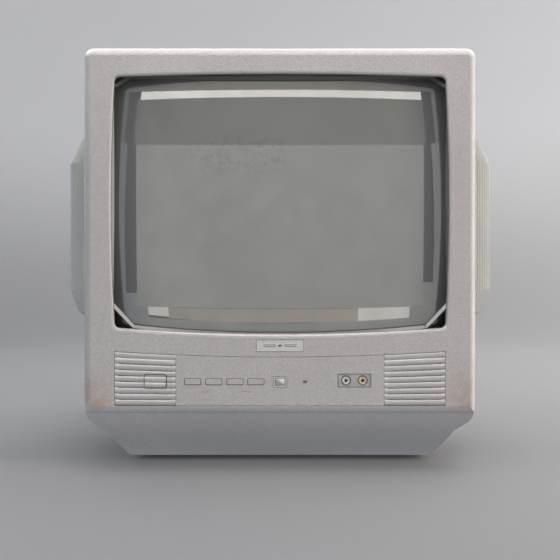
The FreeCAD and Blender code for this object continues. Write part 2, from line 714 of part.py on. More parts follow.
def feet():
    pads = []
    for x, d in FOOT_PLACES:
        pad = post(FOOT_RADIUS, x, d, 0, BOTTOM_Z)
        rim = [e for e in pad.Edges if e.BoundBox.ZMax < 1e-6]
        pads.append(pad.makeChamfer(0.8, rim))
    return pads


def cord_gland():
    """Moulded grommet for the mains cord."""
    body = rod(6.9, GLAND_X, GLAND_Z, SET_DEPTH - 9, SET_DEPTH + 0.0)
    lock = rod(9.0, GLAND_X, GLAND_Z, SET_DEPTH - 9, SET_DEPTH - CABINET_WALL - 0.1)
    return fuse(body, lock).cut(rod(GLAND_BORE, GLAND_X, GLAND_Z, SET_DEPTH - 12, SET_DEPTH + 2))


# ---------------------------------------------------------------- the picture tube
def crt_panel():
    start = GLASS_DEPTH - 1
    outer = prism(tube_wire(0, start), SEAL_DEPTH - start).common(dome(GLASS_RADIUS, GLASS_DEPTH))
    inner = prism(tube_wire(GLASS_WALL, start), SEAL_DEPTH)
    return outer.cut(inner.common(dome(GLASS_RADIUS - GLASS_WALL, GLASS_DEPTH + GLASS_WALL)))


def phosphor_screen():
    skin = GLASS_WALL + 0.1
    cap = prism(tube_wire(GLASS_WALL + 0.4, 5), SEAL_DEPTH - 8)
    cap = cap.common(dome(GLASS_RADIUS - skin, GLASS_DEPTH + skin))
    return cap.cut(dome(GLASS_RADIUS - skin - 0.6, GLASS_DEPTH + skin + 0.6))


def shadow_mask():
    """Domed aperture mask welded by its skirt inside an L-section frame."""
    pole = GLASS_DEPTH + GLASS_WALL + 12
    front = dome(GLASS_RADIUS - GLASS_WALL - 12, pole)
    skirt = GLASS_WALL + 5.5
    cap = prism(tube_wire(skirt, 5), SEAL_DEPTH - 10).common(front)
    back = dome(GLASS_RADIUS - GLASS_WALL - 12.8, pole + 0.8)
    mask = cap.cut(prism(tube_wire(skirt + 0.9, 5), SEAL_DEPTH).common(back))
    side = prism(tube_wire(GLASS_WALL + 4, 61), 18).cut(prism(tube_wire(GLASS_WALL + 5.6, 50), 40))
    foot = prism(tube_wire(GLASS_WALL + 4, 77.4), 1.6)
    foot = foot.cut(prism(tube_wire(GLASS_WALL + 18, 70), 20))
    return fuse(mask, side, foot)


FUNNEL_STATIONS = [  # depth, half width, half height, corner radius
    (SEAL_DEPTH, TUBE_HALF, TUBE_HALF_HEIGHT, 27.0),
    (110.0, 141.0, 111.0, 34.0),
    (150.0, 102.0, 82.0, 40.0),
    (172.0, 70.0, 59.0, 40.0),
    (190.0, 46.0, 42.0, 36.0),
    (205.0, 31.0, 30.0, 28.0),
    (220.0, 21.0, 21.0, 20.0),
    (NECK_START, NECK_RADIUS, NECK_RADIUS, NECK_RADIUS - 0.3),
]


def funnel_loft(inset):
    wires = []
    for depth, half, high, corner in FUNNEL_STATIONS:
        a, b = half - inset, high - inset
        if depth == NECK_START and inset:
            a = b = NECK_BORE
        r = min(max(corner - inset, 6.0), min(a, b) - 0.3)
        points = [(-a, SCREEN_Z - b), (a, SCREEN_Z - b), (a, SCREEN_Z + b), (-a, SCREEN_Z + b)]
        wires.append(rounded_wire(points, [r] * 4, depth))
    return Part.makeLoft(wires, True, True)


def crt_funnel():
    """Glass funnel with its neck, open to the panel and closed by the stem at the back."""
    outer = funnel_loft(0).fuse(rod(NECK_RADIUS, 0, SCREEN_Z, NECK_START - 0.01, NECK_END))
    inner = funnel_loft(FUNNEL_WALL).fuse(rod(NECK_BORE, 0, SCREEN_Z, NECK_START - 0.01, NECK_END - 4))
    return outer.cut(inner)


def electron_gun():
    """Cathode cups, grids and the convergence cup on their two glass rods."""
    z = SCREEN_Z
    stack = [(7.5, 300, 308), (9.6, 294, 296), (9.6, 288, 290), (8.6, 268, 284), (9.6, 248, 264)]
    parts = [rod(r, 0, z, a, b) for r, a, b in stack]
    parts.append(ring(10.6, 9.2, 0, z, 238, 246))
    parts.append(rod(3.0, 0, z, 245, 309))
    for angle in (90, 270):
        x = 10.0 * math.cos(math.radians(angle))
        dz = 10.0 * math.sin(math.radians(angle))
        parts.append(rod(1.3, x, z + dz, 247, 306))
    return fuse(*parts)


def pin_places():
    return [
        (8.4 * math.cos(math.radians(a)), SCREEN_Z + 8.4 * math.sin(math.radians(a)))
        for a in range(0, 360, 36)
    ][:9]


def crt_base():
    """Base cap with nine contact pins."""
    pins = [rod(0.55, x, z, NECK_END + 5, NECK_END + 17) for x, z in pin_places()]
    key = rod(3.2, 0, SCREEN_Z, NECK_END + 5, NECK_END + 15)
    return fuse(rod(13.2, 0, SCREEN_Z, NECK_END + 0.05, NECK_END + 6), key, *pins)


def crt_socket():
    """Neck socket on the tube board."""
    body = rod(17.5, 0, SCREEN_Z, NECK_END + 7, NECK_END + 19.9)
    body = body.cut(rod(3.6, 0, SCREEN_Z, NECK_END + 6, NECK_END + 17))
    for x, z in pin_places():
        body = body.cut(rod(0.8, x, z, NECK_END + 6, NECK_END + 18))
    return body


def rimband():
    """Tension band round the panel with a lug at each corner."""
    band = prism(tube_wire(-1.4, 50), 22).cut(prism(tube_wire(-0.1, 45), 40))
    lugs = []
    for sx in (-1, 1):
        for sz in (-1, 1):
            ear = rod(8.5, sx * LUG_X, SCREEN_Z + sz * LUG_Z, LUG_DEPTH, LUG_DEPTH + 2)
            arm = centred(
                sx * (LUG_X - 9), SCREEN_Z + sz * (LUG_Z - 9), 22, 14, LUG_DEPTH, LUG_DEPTH + 2
            )
            arm.rotate(at(sx * (LUG_X - 9), LUG_DEPTH, SCREEN_Z + sz * (LUG_Z - 9)), Y_AXIS, -45 * sx * sz)
            ear = ear.fuse(arm).cut(rod(3.0, sx * LUG_X, SCREEN_Z + sz * LUG_Z, 40, 80))
            lugs.append(ear.cut(prism(tube_wire(-0.7, 40), 60)))
    return fuse(band, *lugs)


def tube_screws():
    """Four flanged hexagon screws that hold the tube to the bezel."""
    screws = []
    for sx in (-1, 1):
        for z in (SCREEN_Z - LUG_Z, SCREEN_Z + LUG_Z):
            x, seat = sx * LUG_X, LUG_DEPTH + 2.05
            washer = rod(6.2, x, z, seat, seat + 1.2)
            turns = [math.radians(60 * i) for i in range(6)]
            corners = [at(x + 4.6 * math.cos(t), seat + 1.2, z + 4.6 * math.sin(t)) for t in turns]
            head = Part.Face(Part.makePolygon(corners + corners[:1])).extrude(V(0, 4, 0))
            screws.append(fuse(washer, head, rod(2.0, x, z, seat - 26, seat)))
    return screws


def degauss_coil():
    """Taped copper loop that lies round the funnel just behind the rim band."""
    depth, half, high, bend = 91.0, 159.5, 128.0, 34.0
    z = SCREEN_Z
    points = [(-half, z - high), (half, z - high), (half, z + high), (-half, z + high)]
    path = rounded_wire(points, [bend] * 4, depth)
    start = path.OrderedVertexes[0].Point
    tangent = path.OrderedEdges[0].tangentAt(path.OrderedEdges[0].FirstParameter)
    section = Part.Wire(Part.makeCircle(4.2, start, tangent))
    return path.makePipeShell([section], True, False)


def cap_frame():
    """Place and outward direction of the anode cap on the funnel's upper slope."""
    near, far = FUNNEL_STATIONS[1], FUNNEL_STATIONS[2]
    run, drop = far[0] - near[0], near[2] - far[2]
    normal = V(0, drop, run)
    normal.normalize()
    middle = at(0, (near[0] + far[0]) / 2, SCREEN_Z + (near[2] + far[2]) / 2)
    return middle, normal


def anode_cap():
    """Rubber suction cap over the high-voltage contact."""
    middle, normal = cap_frame()
    base = middle + normal * 0.25
    skirt = Part.makeCone(20, 9, 5, base, normal)
    dome_top = Part.makeCylinder(8, 6.5, base + normal * 3, normal)
    spout = Part.makeCylinder(4.2, 15, base + normal * 6, X_AXIS)
    hole = Part.makeCylinder(2.6, 11, base + normal * 6 + X_AXIS * 8, X_AXIS)
    return fuse(skirt, dome_top, spout).cut(hole)


def anode_lead():
    middle, normal = cap_frame()
    start = middle + normal * 6.25 + X_AXIS * 8.2
    x, d = FLYBACK
    top = at(x + 12, d - 8, TOP_OF_BOARD + 64.05)
    points = [start, start + X_AXIS * 34, at(92, 146, 338), at(112, 164, 306), at(118, 184, 260)]
    points += [at(112, 206, 212), at(98, 228, 168), at(82, 246, 136), top + Z_AXIS * 26, top]
    return lead(points, 2.3)


# ---------------------------------------------------------------- deflection yoke and neck
def yoke_profile(offset):
    """(depth, radius) points that follow the funnel at a distance."""
    base = [(194.0, 46.5), (205.0, 35.0), (220.0, 24.0), (236.0, 16.6), (250.0, 16.0)]
    return [(d, r + offset) for d, r in base]


def yoke_band(inner, outer, d0, d1):
    """A shell of revolution between two offsets of the yoke profile, from d0 to d1."""
    low = yoke_profile(inner)
    high = yoke_profile(outer)
    body = shell_of_revolution(low + high[::-1])
    return body.common(rod(100, 0, SCREEN_Z, d0, d1))


def yoke_liner():
    """Plastic separator with its front flange, rear collar and clamp fingers."""
    z = SCREEN_Z
    body = yoke_band(3.2, 5.0, 194, 250)
    front = shell_of_revolution([(194, 49.7), (194, 62), (196, 62), (196, 47.6)])
    rear = shell_of_revolution([(246, 19.3), (246, 33), (248, 33), (248, 19.2)])
    fingers = ring(17.6, 15.2, 0, z, 249.5, 257)
    cross = centred(0, z, 60, 2.4, 252, 260).fuse(centred(0, z, 2.4, 60, 252, 260))
    return fuse(body, front, rear, fingers.cut(cross), ring(21, 15.2, 0, z, 248.5, 250.5))


def yoke_line_coils():
    """Two saddle coils inside the separator."""
    halves = []
    for start in (4, 184):
        body = yoke_band(0.6, 3.0, 196.5, 244)
        halves.append(sector(body, start, 172))
    return halves


def yoke_field_coils():
    """Two saddle coils outside the separator, at right angles to the line coils."""
    halves = []
    for start in (94, 274):
        body = yoke_band(5.3, 8.2, 197.5, 244)
        bundle = shell_of_revolution([(196.5, 53.6), (196.5, 60.5), (202.5, 60.5), (202.5, 51)])
        halves.append(sector(body.fuse(bundle), start, 172))
    return halves


def yoke_core():
    """Flared ferrite ring in two clamped halves."""
    body = yoke_band(8.6, 14.6, 203.5, 238)
    return [sector(body, 0.4, 179.2), sector(body, 180.4, 179.2)]


def yoke_clamp():
    """Screw clamp that locks the yoke on the neck."""
    z = SCREEN_Z
    band = ring(19.6, 17.8, 0, z, 250.9, 256.5)
    gap = block(-1.5, 1.5, 250, 258, z + 10, z + 30)
    ears = block(-5.5, 5.5, 250.9, 256.5, z + 18.6, z + 27)
    screw = Part.makeCylinder(1.6, 19, at(-9, 253.7, z + 23.4), X_AXIS)
    head = Part.makeCylinder(3.2, 2.6, at(7.6, 253.7, z + 23.4), X_AXIS)
    return fuse(band.cut(gap), ears.cut(gap), screw, head)


RING_DEPTHS = {
    "purity_ring_front": 261.0,
    "purity_ring_rear": 263.2,
    "four_pole_ring_front": 267.2,
    "four_pole_ring_rear": 269.4,
    "six_pole_ring_front": 273.4,
    "six_pole_ring_rear": 275.6,
}


def magnet_holder():
    """Sleeve that carries the ring magnets, with spacers and a lock ring."""
    z = SCREEN_Z
    parts = [ring(22.5, 14.8, 0, z, 258.4, 260.4), ring(17.0, 14.8, 0, z, 258.4, 292)]
    for depth in (265.5, 271.7):
        parts.append(ring(22.0, 16.5, 0, z, depth, depth + 1.2))
    parts.append(ring(23.0, 16.5, 0, z, 278.2, 283))
    for i in range(12):
        angle = math.radians(30 * i)
        parts.append(rod(1.2, 23 * math.cos(angle), z + 23 * math.sin(angle), 278.2, 283))
    return fuse(*parts)


def magnet_ring(name):
    """A thin ring magnet with two adjusting tabs."""
    depth = RING_DEPTHS[name]
    rear = name.endswith("rear")
    body = ring(22.0, 17.3, 0, SCREEN_Z, depth, depth + 1.8)
    tab = block(-2.5, 2.5, depth, depth + 1.8, SCREEN_Z + 21, SCREEN_Z + 29)
    other = block(-2.5, 2.5, depth, depth + 1.8, SCREEN_Z - 29, SCREEN_Z - 21)
    body = fuse(body, tab, other)
    body.rotate(at(0, depth, SCREEN_Z), Y_AXIS, 20.0 if rear else -20.0)
    return body


def neck_board():
    """Tube board with its fixing holes."""
    z = SCREEN_Z
    depth = NECK_END + 20
    board = block(-40, 42, depth, depth + 1.6, z - 48, z + 30)
    for x in (-36, 38):
        for dz in (-44, 26):
            board = board.cut(rod(1.6, x, z + dz, depth - 1, depth + 3))
    return board


def neck_board_parts():
    """Transistors, transformer, resistors and a connector on the tube board's rear face."""
    z = SCREEN_Z
    face = NECK_END + 21.65
    parts = [block(x, x + 10, face, face + 12, z + 8, z + 12) for x in (-30, -6, 18)]
    parts += [rod(2.6, x, z - 12, face, face + 9) for x in (-28, 28)]
    parts += [rod(6.0, 0, z - 30, face, face + 11)]
    for x in (-32, -22, 18, 30):
        body = Part.makeCylinder(1.4, 8, at(x, face + 1.5, z - 34), Z_AXIS)
        parts.append(body)
    parts.append(block(-16, -4, face, face + 8, z - 46, z - 40))
    return parts


# ---------------------------------------------------------------- chassis
def main_board():
    """Main circuit board with its fixing holes."""
    board = block(-BOARD_HALF, BOARD_HALF, 86, 364, BOARD_Z, BOARD_Z + BOARD_THICKNESS)
    for x, d in ((-76, 96), (76, 96), (-76, 356), (76, 356), (10, 96)):
        board = board.cut(post(1.9, x, d, BOARD_Z - 2, BOARD_Z + 4))
    return board


def chassis_rails():
    """Two moulded rails joined by a cross-member; the board slides into them."""
    floor = BOTTOM_Z + CABINET_WALL + 0.1
    outer = BOARD_HALF + 4.6
    body = block(-outer, outer, 70, 76, floor, floor + 8)
    for side in (-1, 1):
        wall = sorted((side * (BOARD_HALF + 0.6), side * outer))
        lower = sorted((side * (BOARD_HALF - 5), side * (BOARD_HALF + 1)))
        upper = sorted((side * (BOARD_HALF - 3), side * (BOARD_HALF + 1)))
        rail = block(wall[0], wall[1], 70, 300, floor, BOARD_Z + 8)
        lower = block(lower[0], lower[1], 78, 300, BOARD_Z - 4, BOARD_Z - 0.1)
        upper = block(upper[0], upper[1], 78, 300, BOARD_Z + 1.8, BOARD_Z + 4)
        body = body.multiFuse([rail, lower, upper])
    return body.removeSplitter()


TOP_OF_BOARD = BOARD_Z + BOARD_THICKNESS + 0.05
FLYBACK = (56.0, 262.0)  # x and depth of the line output transformer
KNOB_PLACES = {"focus_knob": TOP_OF_BOARD + 50, "screen_knob": TOP_OF_BOARD + 30}


def flyback_transformer():
    """Potted line output transformer with its ferrite core and control block."""
    x, d = FLYBACK
    z = TOP_OF_BOARD
    pot = post(21, x, d, z, z + 58)
    neck = post(9, x + 12, d - 8, z + 57, z + 64)
    control = block(x - 14, x + 14, d + 18, d + 34, z, z + 62)
    core = block(x - 34, x - 22, d - 6, d + 6, z + 6, z + 52)
    core = core.fuse(block(x - 34, x, d - 6, d + 6, z + 42, z + 52))
    core = core.fuse(block(x - 34, x, d - 6, d + 6, z + 6, z + 16))
    body = fuse(pot, neck, control, core)
    for height in KNOB_PLACES.values():
        body = body.cut(rod(3.3, x, height, d + 28, d + 40))
    return body


def trim_knob(name):
    """Screwdriver knob: spindle in the control block and a slotted grip outside."""
    x, d = FLYBACK
    height = KNOB_PLACES[name]
    spindle = rod(3.2, x, height, d + 28.5, d + 35)
    grip = rod(6.0, x, height, d + 34.2, d + 42)
    for i in range(10):
        angle = math.radians(36 * i)
        grip = grip.cut(rod(0.8, x + 6.2 * math.cos(angle), height + 6.2 * math.sin(angle), d + 33, d + 43))
    return fuse(spindle, grip).cut(centred(x, height, 9, 1.2, d + 40.5, d + 43))


SINK_PLACES = [(-20, 250), (-56, 150)]  # x and depth


def heatsinks():
    """Two finned aluminium sinks standing on the board."""
    sinks = []
    z = TOP_OF_BOARD
    for (x, d), width, height in zip(SINK_PLACES, (60, 44), (55, 48)):
        fin = block(x - width / 2, x + width / 2, d, d + 3, z, z + height)
        blades = [
            block(x - width / 2 + 8 * i, x - width / 2 + 8 * i + 1.6, d + 2.5, d + 15, z + 6, z + height)
            for i in range(int(width // 8) + 1)
        ]
        sinks.append(fuse(fin, *blades))
    return sinks


def board_capacitors():
    """Electrolytic capacitors; the large one smooths the mains supply."""
    cans = [(-28, 122, 15, 40), (10, 138, 8, 25), (30, 138, 8, 25), (46, 116, 6, 20)]
    cans += [(10, 178, 5, 16), (24, 182, 5, 14), (-2, 206, 6.5, 22), (-68, 262, 6.5, 20)]
    cans += [(16, 232, 5, 14), (-66, 304, 5, 12), (-20, 322, 4, 12), (38, 204, 8, 30)]
    bodies = []
    for x, d, radius, height in cans:
        can = post(radius, x, d, TOP_OF_BOARD, TOP_OF_BOARD + height)
        groove = post(radius + 1, x, d, TOP_OF_BOARD + 2.5, TOP_OF_BOARD + 3.5)
        groove = groove.cut(post(radius - 0.5, x, d, TOP_OF_BOARD, TOP_OF_BOARD + 6))
        bodies.append(can.cut(groove))
    return bodies


def board_components():
    """Power transformer, filter choke, chips, connectors, power transistors and resistors."""
    z = TOP_OF_BOARD

    def on_board(x, d, width, length, height):
        return block(x - width / 2, x + width / 2, d - length / 2, d + length / 2, z, z + height)

    parts = [on_board(-56, 196, 42, 36, 34), on_board(67, 122, 22, 26, 26), on_board(67, 160, 18, 22, 14)]
    parts += [on_board(-40, 290, 18, 40, 4), on_board(4, 288, 12, 30, 4), on_board(72, 198, 10, 24, 4)]
    parts += [on_board(x, 102, 14, 6, 9) for x in (-58, -38, 28, 56)]
    parts += [block(x - 5, x + 5, d - 4.6, d - 0.1, z + 10, z + 28) for x, d in SINK_PLACES]
    parts += [Part.makeCylinder(1.6, 9, at(40 + 7 * i, 226, z + 1.7), Y_AXIS) for i in range(6)]
    return parts


def tuner_module():
    """Screened tuner with the aerial socket that reaches the back wall."""
    can = block(AERIAL_X - 14, AERIAL_X + 14, 316, 358, TOP_OF_BOARD, AERIAL_Z + 13)
    spout = rod(6.8, AERIAL_X, AERIAL_Z, 357, SET_DEPTH + 0.0)
    contact = ring(1.9, 1.25, AERIAL_X, AERIAL_Z, 360, SET_DEPTH - 1.5)
    spout = spout.cut(rod(4.75, AERIAL_X, AERIAL_Z, 362, SET_DEPTH + 2)).fuse(contact)
    return can.fuse(spout.cut(rod(1.25, AERIAL_X, AERIAL_Z, 362, SET_DEPTH + 2)))


def scart_socket():
    """21-way socket with its D-shaped screen and centre tongue."""
    x, z = SCART_X, SCART_Z
    d0, d1 = SET_DEPTH - 16, SET_DEPTH - 0.6
    base = block(x - 26, x + 26, SET_DEPTH - 24, d0, TOP_OF_BOARD, z + 10)

    def d_shape(half, high, cut, start, end):
        points = [(-half, -high), (half, -high), (half, high - cut), (half - cut, high), (-half, high)]
        flat = [at(x + a, start, z + b) for a, b in points]
        return Part.Face(Part.makePolygon(flat + flat[:1])).extrude(V(0, end - start, 0))

    shell = d_shape(23.5, 7.8, 5.0, d0 - 1, d1).cut(d_shape(22.5, 6.8, 4.6, d0, d1 + 3))
    tongue = centred(x, z, 36, 4, d0 - 1, d1 - 1.5)
    return fuse(base, shell, tongue)


def control_board():
    """Strip board behind the buttons with tact switches and the remote receiver."""
    board = block(-90, 92, CONTROL_BOARD_DEPTH, CONTROL_BOARD_DEPTH + 1.6, 74, 96)
    for x in JACK_X:
        board = board.cut(centred(x, AV_Z, 12, 11, 13, 17))
    parts = [board]
    for x in BUTTON_X.values():
        parts.append(centred(x, BUTTON_Z, 6, 6, 12.2, CONTROL_BOARD_DEPTH - 0.05))
    parts.append(centred(0, BUTTON_Z, 7, 8, 7.5, CONTROL_BOARD_DEPTH - 0.05))
    return parts


def mains_switch():
    """Latching push switch on its bracket; the power button's stem works in its mouth."""
    near, far = SWITCH_DEPTH, SWITCH_DEPTH + 26
    body = centred(POWER_X, POWER_Z, 17, 22, near, far)
    ears = centred(POWER_X, POWER_Z, 2 * SWITCH_EAR + 6, 8, near + 2, near + 4)
    tabs = [centred(POWER_X + dx, POWER_Z - 4, 3, 3, far, far + 6) for dx in (-5, 5)]
    slot = centred(POWER_X, POWER_Z, 4.5, 4.5, near - 2, 30 + POWER_TRAVEL + 2)
    return fuse(body, ears, *tabs).cut(slot)


# ---------------------------------------------------------------- writing the files
def build():
    parts = {
        "front_bezel": front_bezel(),
        "rear_cabinet": rear_cabinet(),
        "screen_surround": screen_surround(),
        "left_grille": left_grille(),
        "right_grille": right_grille(),
        "control_panel": control_panel(),
        "badge_plate": badge_plate(),
        "power_button": power_button(),
        "ir_window": ir_window(),
        "standby_led": standby_led(),
        "av_plate": av_plate(),
        "audio_socket": phono_jack(JACK_X[0]),
        "video_socket": phono_jack(JACK_X[1]),
        "rubber_feet": feet(),
        "rear_cabinet_screws": rear_screws(),
        "cord_gland": cord_gland(),
        "crt_panel": crt_panel(),
        "crt_funnel": crt_funnel(),
        "phosphor_screen": phosphor_screen(),
        "shadow_mask": shadow_mask(),
        "electron_gun": electron_gun(),
        "crt_base": crt_base(),
        "crt_socket": crt_socket(),
        "rimband": rimband(),
        "tube_screws": tube_screws(),
        "degauss_coil": degauss_coil(),
        "anode_cap": anode_cap(),
        "anode_lead": anode_lead(),
        "yoke_liner": yoke_liner(),
        "yoke_line_coils": yoke_line_coils(),
        "yoke_field_coils": yoke_field_coils(),
        "yoke_core": yoke_core(),
        "yoke_clamp": yoke_clamp(),
        "magnet_holder": magnet_holder(),
        "neck_board": neck_board(),
        "neck_board_parts": neck_board_parts(),
        "main_board": main_board(),
        "chassis_rails": chassis_rails(),
        "flyback_transformer": flyback_transformer(),
        "heatsinks": heatsinks(),
        "board_capacitors": board_capacitors(),
        "board_components": board_components(),
        "tuner_module": tuner_module(),
        "scart_socket": scart_socket(),
        "control_board": control_board(),
        "mains_switch": mains_switch(),
        "speaker_frame": speaker_frame(),
        "speaker_cone": speaker_cone(),
    }
    for name, x in BUTTON_X.items():
        parts[name + "_button"] = button(x)
    for name in RING_DEPTHS:
        parts[name] = magnet_ring(name)
    for name in KNOB_PLACES:
        parts[name] = trim_knob(name)
    return parts


def export(parts):
    os.makedirs("parts", exist_ok=True)
    for name, shape in parts.items():
        pieces = shape if isinstance(shape, list) else [shape]
        solids = [s for p in pieces for s in p.Solids]
        for solid in solids:
            if not solid.isValid() or solid.Volume <= 0:
                print("NOT VALID:", name, solid.Volume)
        whole = solids[0] if len(solids) == 1 else Part.makeCompound(solids)
        whole.exportStep(os.path.join("parts", name + ".step"))
        box = whole.BoundBox
        print(f"{name}: {len(solids)} solids, {whole.Volume / 1000:.2f} cm3, "
              f"{box.XLength:.1f} x {box.YLength:.1f} x {box.ZLength:.1f}")


export(build())
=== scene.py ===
"""The looks of a small silver television set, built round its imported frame. Lengths are in metres."""

import json
import math

import bmesh
import bpy
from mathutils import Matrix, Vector


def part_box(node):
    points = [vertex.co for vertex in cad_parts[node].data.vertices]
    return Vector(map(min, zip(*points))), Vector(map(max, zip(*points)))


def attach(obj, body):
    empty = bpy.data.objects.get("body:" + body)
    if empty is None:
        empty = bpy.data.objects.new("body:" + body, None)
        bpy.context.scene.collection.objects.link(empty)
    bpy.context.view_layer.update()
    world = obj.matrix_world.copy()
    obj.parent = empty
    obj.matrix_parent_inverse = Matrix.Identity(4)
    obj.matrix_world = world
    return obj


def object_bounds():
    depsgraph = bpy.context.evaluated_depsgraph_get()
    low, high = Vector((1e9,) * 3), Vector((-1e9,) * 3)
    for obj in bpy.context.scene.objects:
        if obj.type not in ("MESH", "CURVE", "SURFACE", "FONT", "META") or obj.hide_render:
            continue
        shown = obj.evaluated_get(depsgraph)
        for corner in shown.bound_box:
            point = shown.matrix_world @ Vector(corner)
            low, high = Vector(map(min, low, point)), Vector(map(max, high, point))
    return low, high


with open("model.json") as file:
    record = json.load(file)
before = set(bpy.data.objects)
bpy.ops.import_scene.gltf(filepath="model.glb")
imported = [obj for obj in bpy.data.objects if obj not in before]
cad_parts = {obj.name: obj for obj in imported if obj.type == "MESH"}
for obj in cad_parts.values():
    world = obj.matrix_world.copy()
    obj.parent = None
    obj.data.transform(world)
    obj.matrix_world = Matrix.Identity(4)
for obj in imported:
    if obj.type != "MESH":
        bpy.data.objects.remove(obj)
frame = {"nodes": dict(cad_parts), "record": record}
cad_low, cad_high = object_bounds()

MM = 0.001
FRONT_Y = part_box("front_bezel")[0].y  # the bezel's front face
GLASS_Z = sum(corner.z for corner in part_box("crt_panel")) / 2
GLASS_RADIUS = 1.150  # of the tube's face

# Pairs of places between which a look fades in: heights, or distances from the middle.
CHIN_EDGE = 0.056, 0.062
SMOOTH_CHIN = 0.050, 0.062
STAINED_SIDES = 0.142, 0.166
STAINED_HEIGHTS = 0.060, 0.098
SIDE_RIM = 0.171, 0.179
TOP_RIM = 0.376, 0.387
REVEAL_TOP = 0.354, 0.362
YELLOWED_TOP = 0.25, 0.39
GLASS_EDGES = 0.095, 0.150
SMEAR_LOW = GLASS_Z + 0.018, GLASS_Z + 0.040
SMEAR_HIGH = GLASS_Z + 0.048, GLASS_Z + 0.070
SMEAR_LEFT = -0.100, -0.060
SMEAR_RIGHT = -0.005, 0.015

WHITE = (1.0, 0.985, 0.965)
CREAM = (1.0, 0.955, 0.90)
BROWN = (1.0, 0.87, 0.72)
BLUISH = (0.85, 0.92, 1.0)


# ---- building materials ----


class Look:
    """A material being put together: a Principled shader and the textures that feed it."""

    def __init__(self, name, settings):
        self.material = bpy.data.materials.new(name)
        self.material.use_nodes = True
        self.tree = self.material.node_tree
        self.shader = self.tree.nodes["Principled BSDF"]
        for socket, value in settings.items():
            self.shader.inputs[socket].default_value = value
        self.place = self.node("ShaderNodeTexCoord").outputs["Object"]
        self.normal = None

    def node(self, kind, **settings):
        made = self.tree.nodes.new(kind)
        for name, value in settings.items():
            setattr(made, name, value)
        return made

    def feed(self, socket, value):
        """Gives a socket a number, a colour or another node's output."""
        if isinstance(value, bpy.types.NodeSocket):
            self.tree.links.new(value, socket)
        elif isinstance(value, tuple):
            socket.default_value = (*value, 1)
        else:
            socket.default_value = value

    def stretched(self, scale):
        """Object coordinates multiplied along each axis."""
        mapping = self.node("ShaderNodeMapping")
        self.feed(mapping.inputs["Vector"], self.place)
        mapping.inputs["Scale"].default_value = scale
        return mapping.outputs["Vector"]

    def noise(self, size, detail=2.0, rough=0.5, stretch=None):
        """Smooth noise from 0 to 1 with blobs of about a size."""
        made = self.node("ShaderNodeTexNoise")
        self.feed(made.inputs["Vector"], self.stretched(stretch) if stretch else self.place)
        made.inputs["Scale"].default_value = 1 / size
        made.inputs["Detail"].default_value = detail
        made.inputs["Roughness"].default_value = rough
        return made.outputs["Fac"]

    def waves(self, size, direction, warp=0.0):
        """Parallel ridges of a size across a direction."""
        made = self.node("ShaderNodeTexWave", bands_direction=direction)
        self.feed(made.inputs["Vector"], self.place)
        made.inputs["Scale"].default_value = math.pi / 10 / size
        made.inputs["Distortion"].default_value = warp
        return made.outputs["Fac"]

    def along(self, axis):
        """The object coordinate along X, Y or Z."""
        split = self.node("ShaderNodeSeparateXYZ")
        self.feed(split.inputs["Vector"], self.place)
        return split.outputs[axis]

    def from_middle(self):
        """The distance to the left or right of the set's middle."""
        return self.maths("ABSOLUTE", self.along("X"))

    def maths(self, operation, first, second=0.0):
        made = self.node("ShaderNodeMath", operation=operation)
        self.feed(made.inputs[0], first)
        self.feed(made.inputs[1], second)
        return made.outputs["Value"]

    def product(self, first, *others):
        """Two or more values multiplied together."""
        for other in others:
            first = self.maths("MULTIPLY", first, other)
        return first

    def spread(self, value, low, high, to_low=0.0, to_high=1.0):
        """Maps a range of values to another one, and holds it at the ends."""
        made = self.node("ShaderNodeMapRange", interpolation_type="SMOOTHSTEP")
        self.feed(made.inputs["Value"], value)
        for name, limit in zip(("From Min", "From Max", "To Min", "To Max"), (low, high, to_low, to_high)):
            made.inputs[name].default_value = limit
        return made.outputs["Result"]

    def between(self, factor, first, second):
        """A colour that goes from the first to the second."""
        made = self.node("ShaderNodeMix", data_type="RGBA")
        self.feed(made.inputs["Factor"], factor)
        # The node's number, vector and colour sockets share their names, so the colour ones go by number.
        self.feed(made.inputs[6], first)
        self.feed(made.inputs[7], second)
        return made.outputs[2]

    def relief(self, height, depth):
        """Adds bumps of a depth, over those already there."""
        made = self.node("ShaderNodeBump")
        made.inputs["Distance"].default_value = depth
        made.inputs["Strength"].default_value = 1.0
        self.feed(made.inputs["Height"], height)
        if self.normal:
            self.feed(made.inputs["Normal"], self.normal)
        self.normal = made.outputs["Normal"]
        self.feed(self.shader.inputs["Normal"], self.normal)

    def shading(self, socket, value):
        """Feeds an input of the shader."""
        self.feed(self.shader.inputs[socket], value)

    def colour(self, value):
        self.shading("Base Color", value)

    def roughness(self, value):
        self.shading("Roughness", value)


def moulded(name, dark, light, rough=(0.4, 0.55), patch=0.02, grain=0.0006, depth=0.00004):
    """Plain moulded or painted stuff: two close colours in soft patches, a fine grain and uneven gloss."""
    look = Look(name, {})
    patches = look.noise(patch, detail=4)
    look.colour(look.between(look.spread(patches, 0.3, 0.7), dark, light))
    look.roughness(look.spread(look.noise(patch / 3, detail=3), 0.3, 0.7, *rough))
    look.relief(look.noise(grain, detail=2), depth)
    return look.material


def brushed_metal(name, dark, light, rough=(0.25, 0.4), stretch=(1, 12, 1)):
    """Drawn or rolled metal with fine lines along one way."""
    look = Look(name, {"Metallic": 1.0})
    lines = look.noise(0.0008, detail=3, stretch=stretch)
    look.colour(look.between(look.spread(lines, 0.3, 0.7), dark, light))
    look.roughness(look.spread(look.noise(0.006, detail=3), 0.3, 0.7, *rough))
    look.relief(lines, 0.00003)
    return look.material


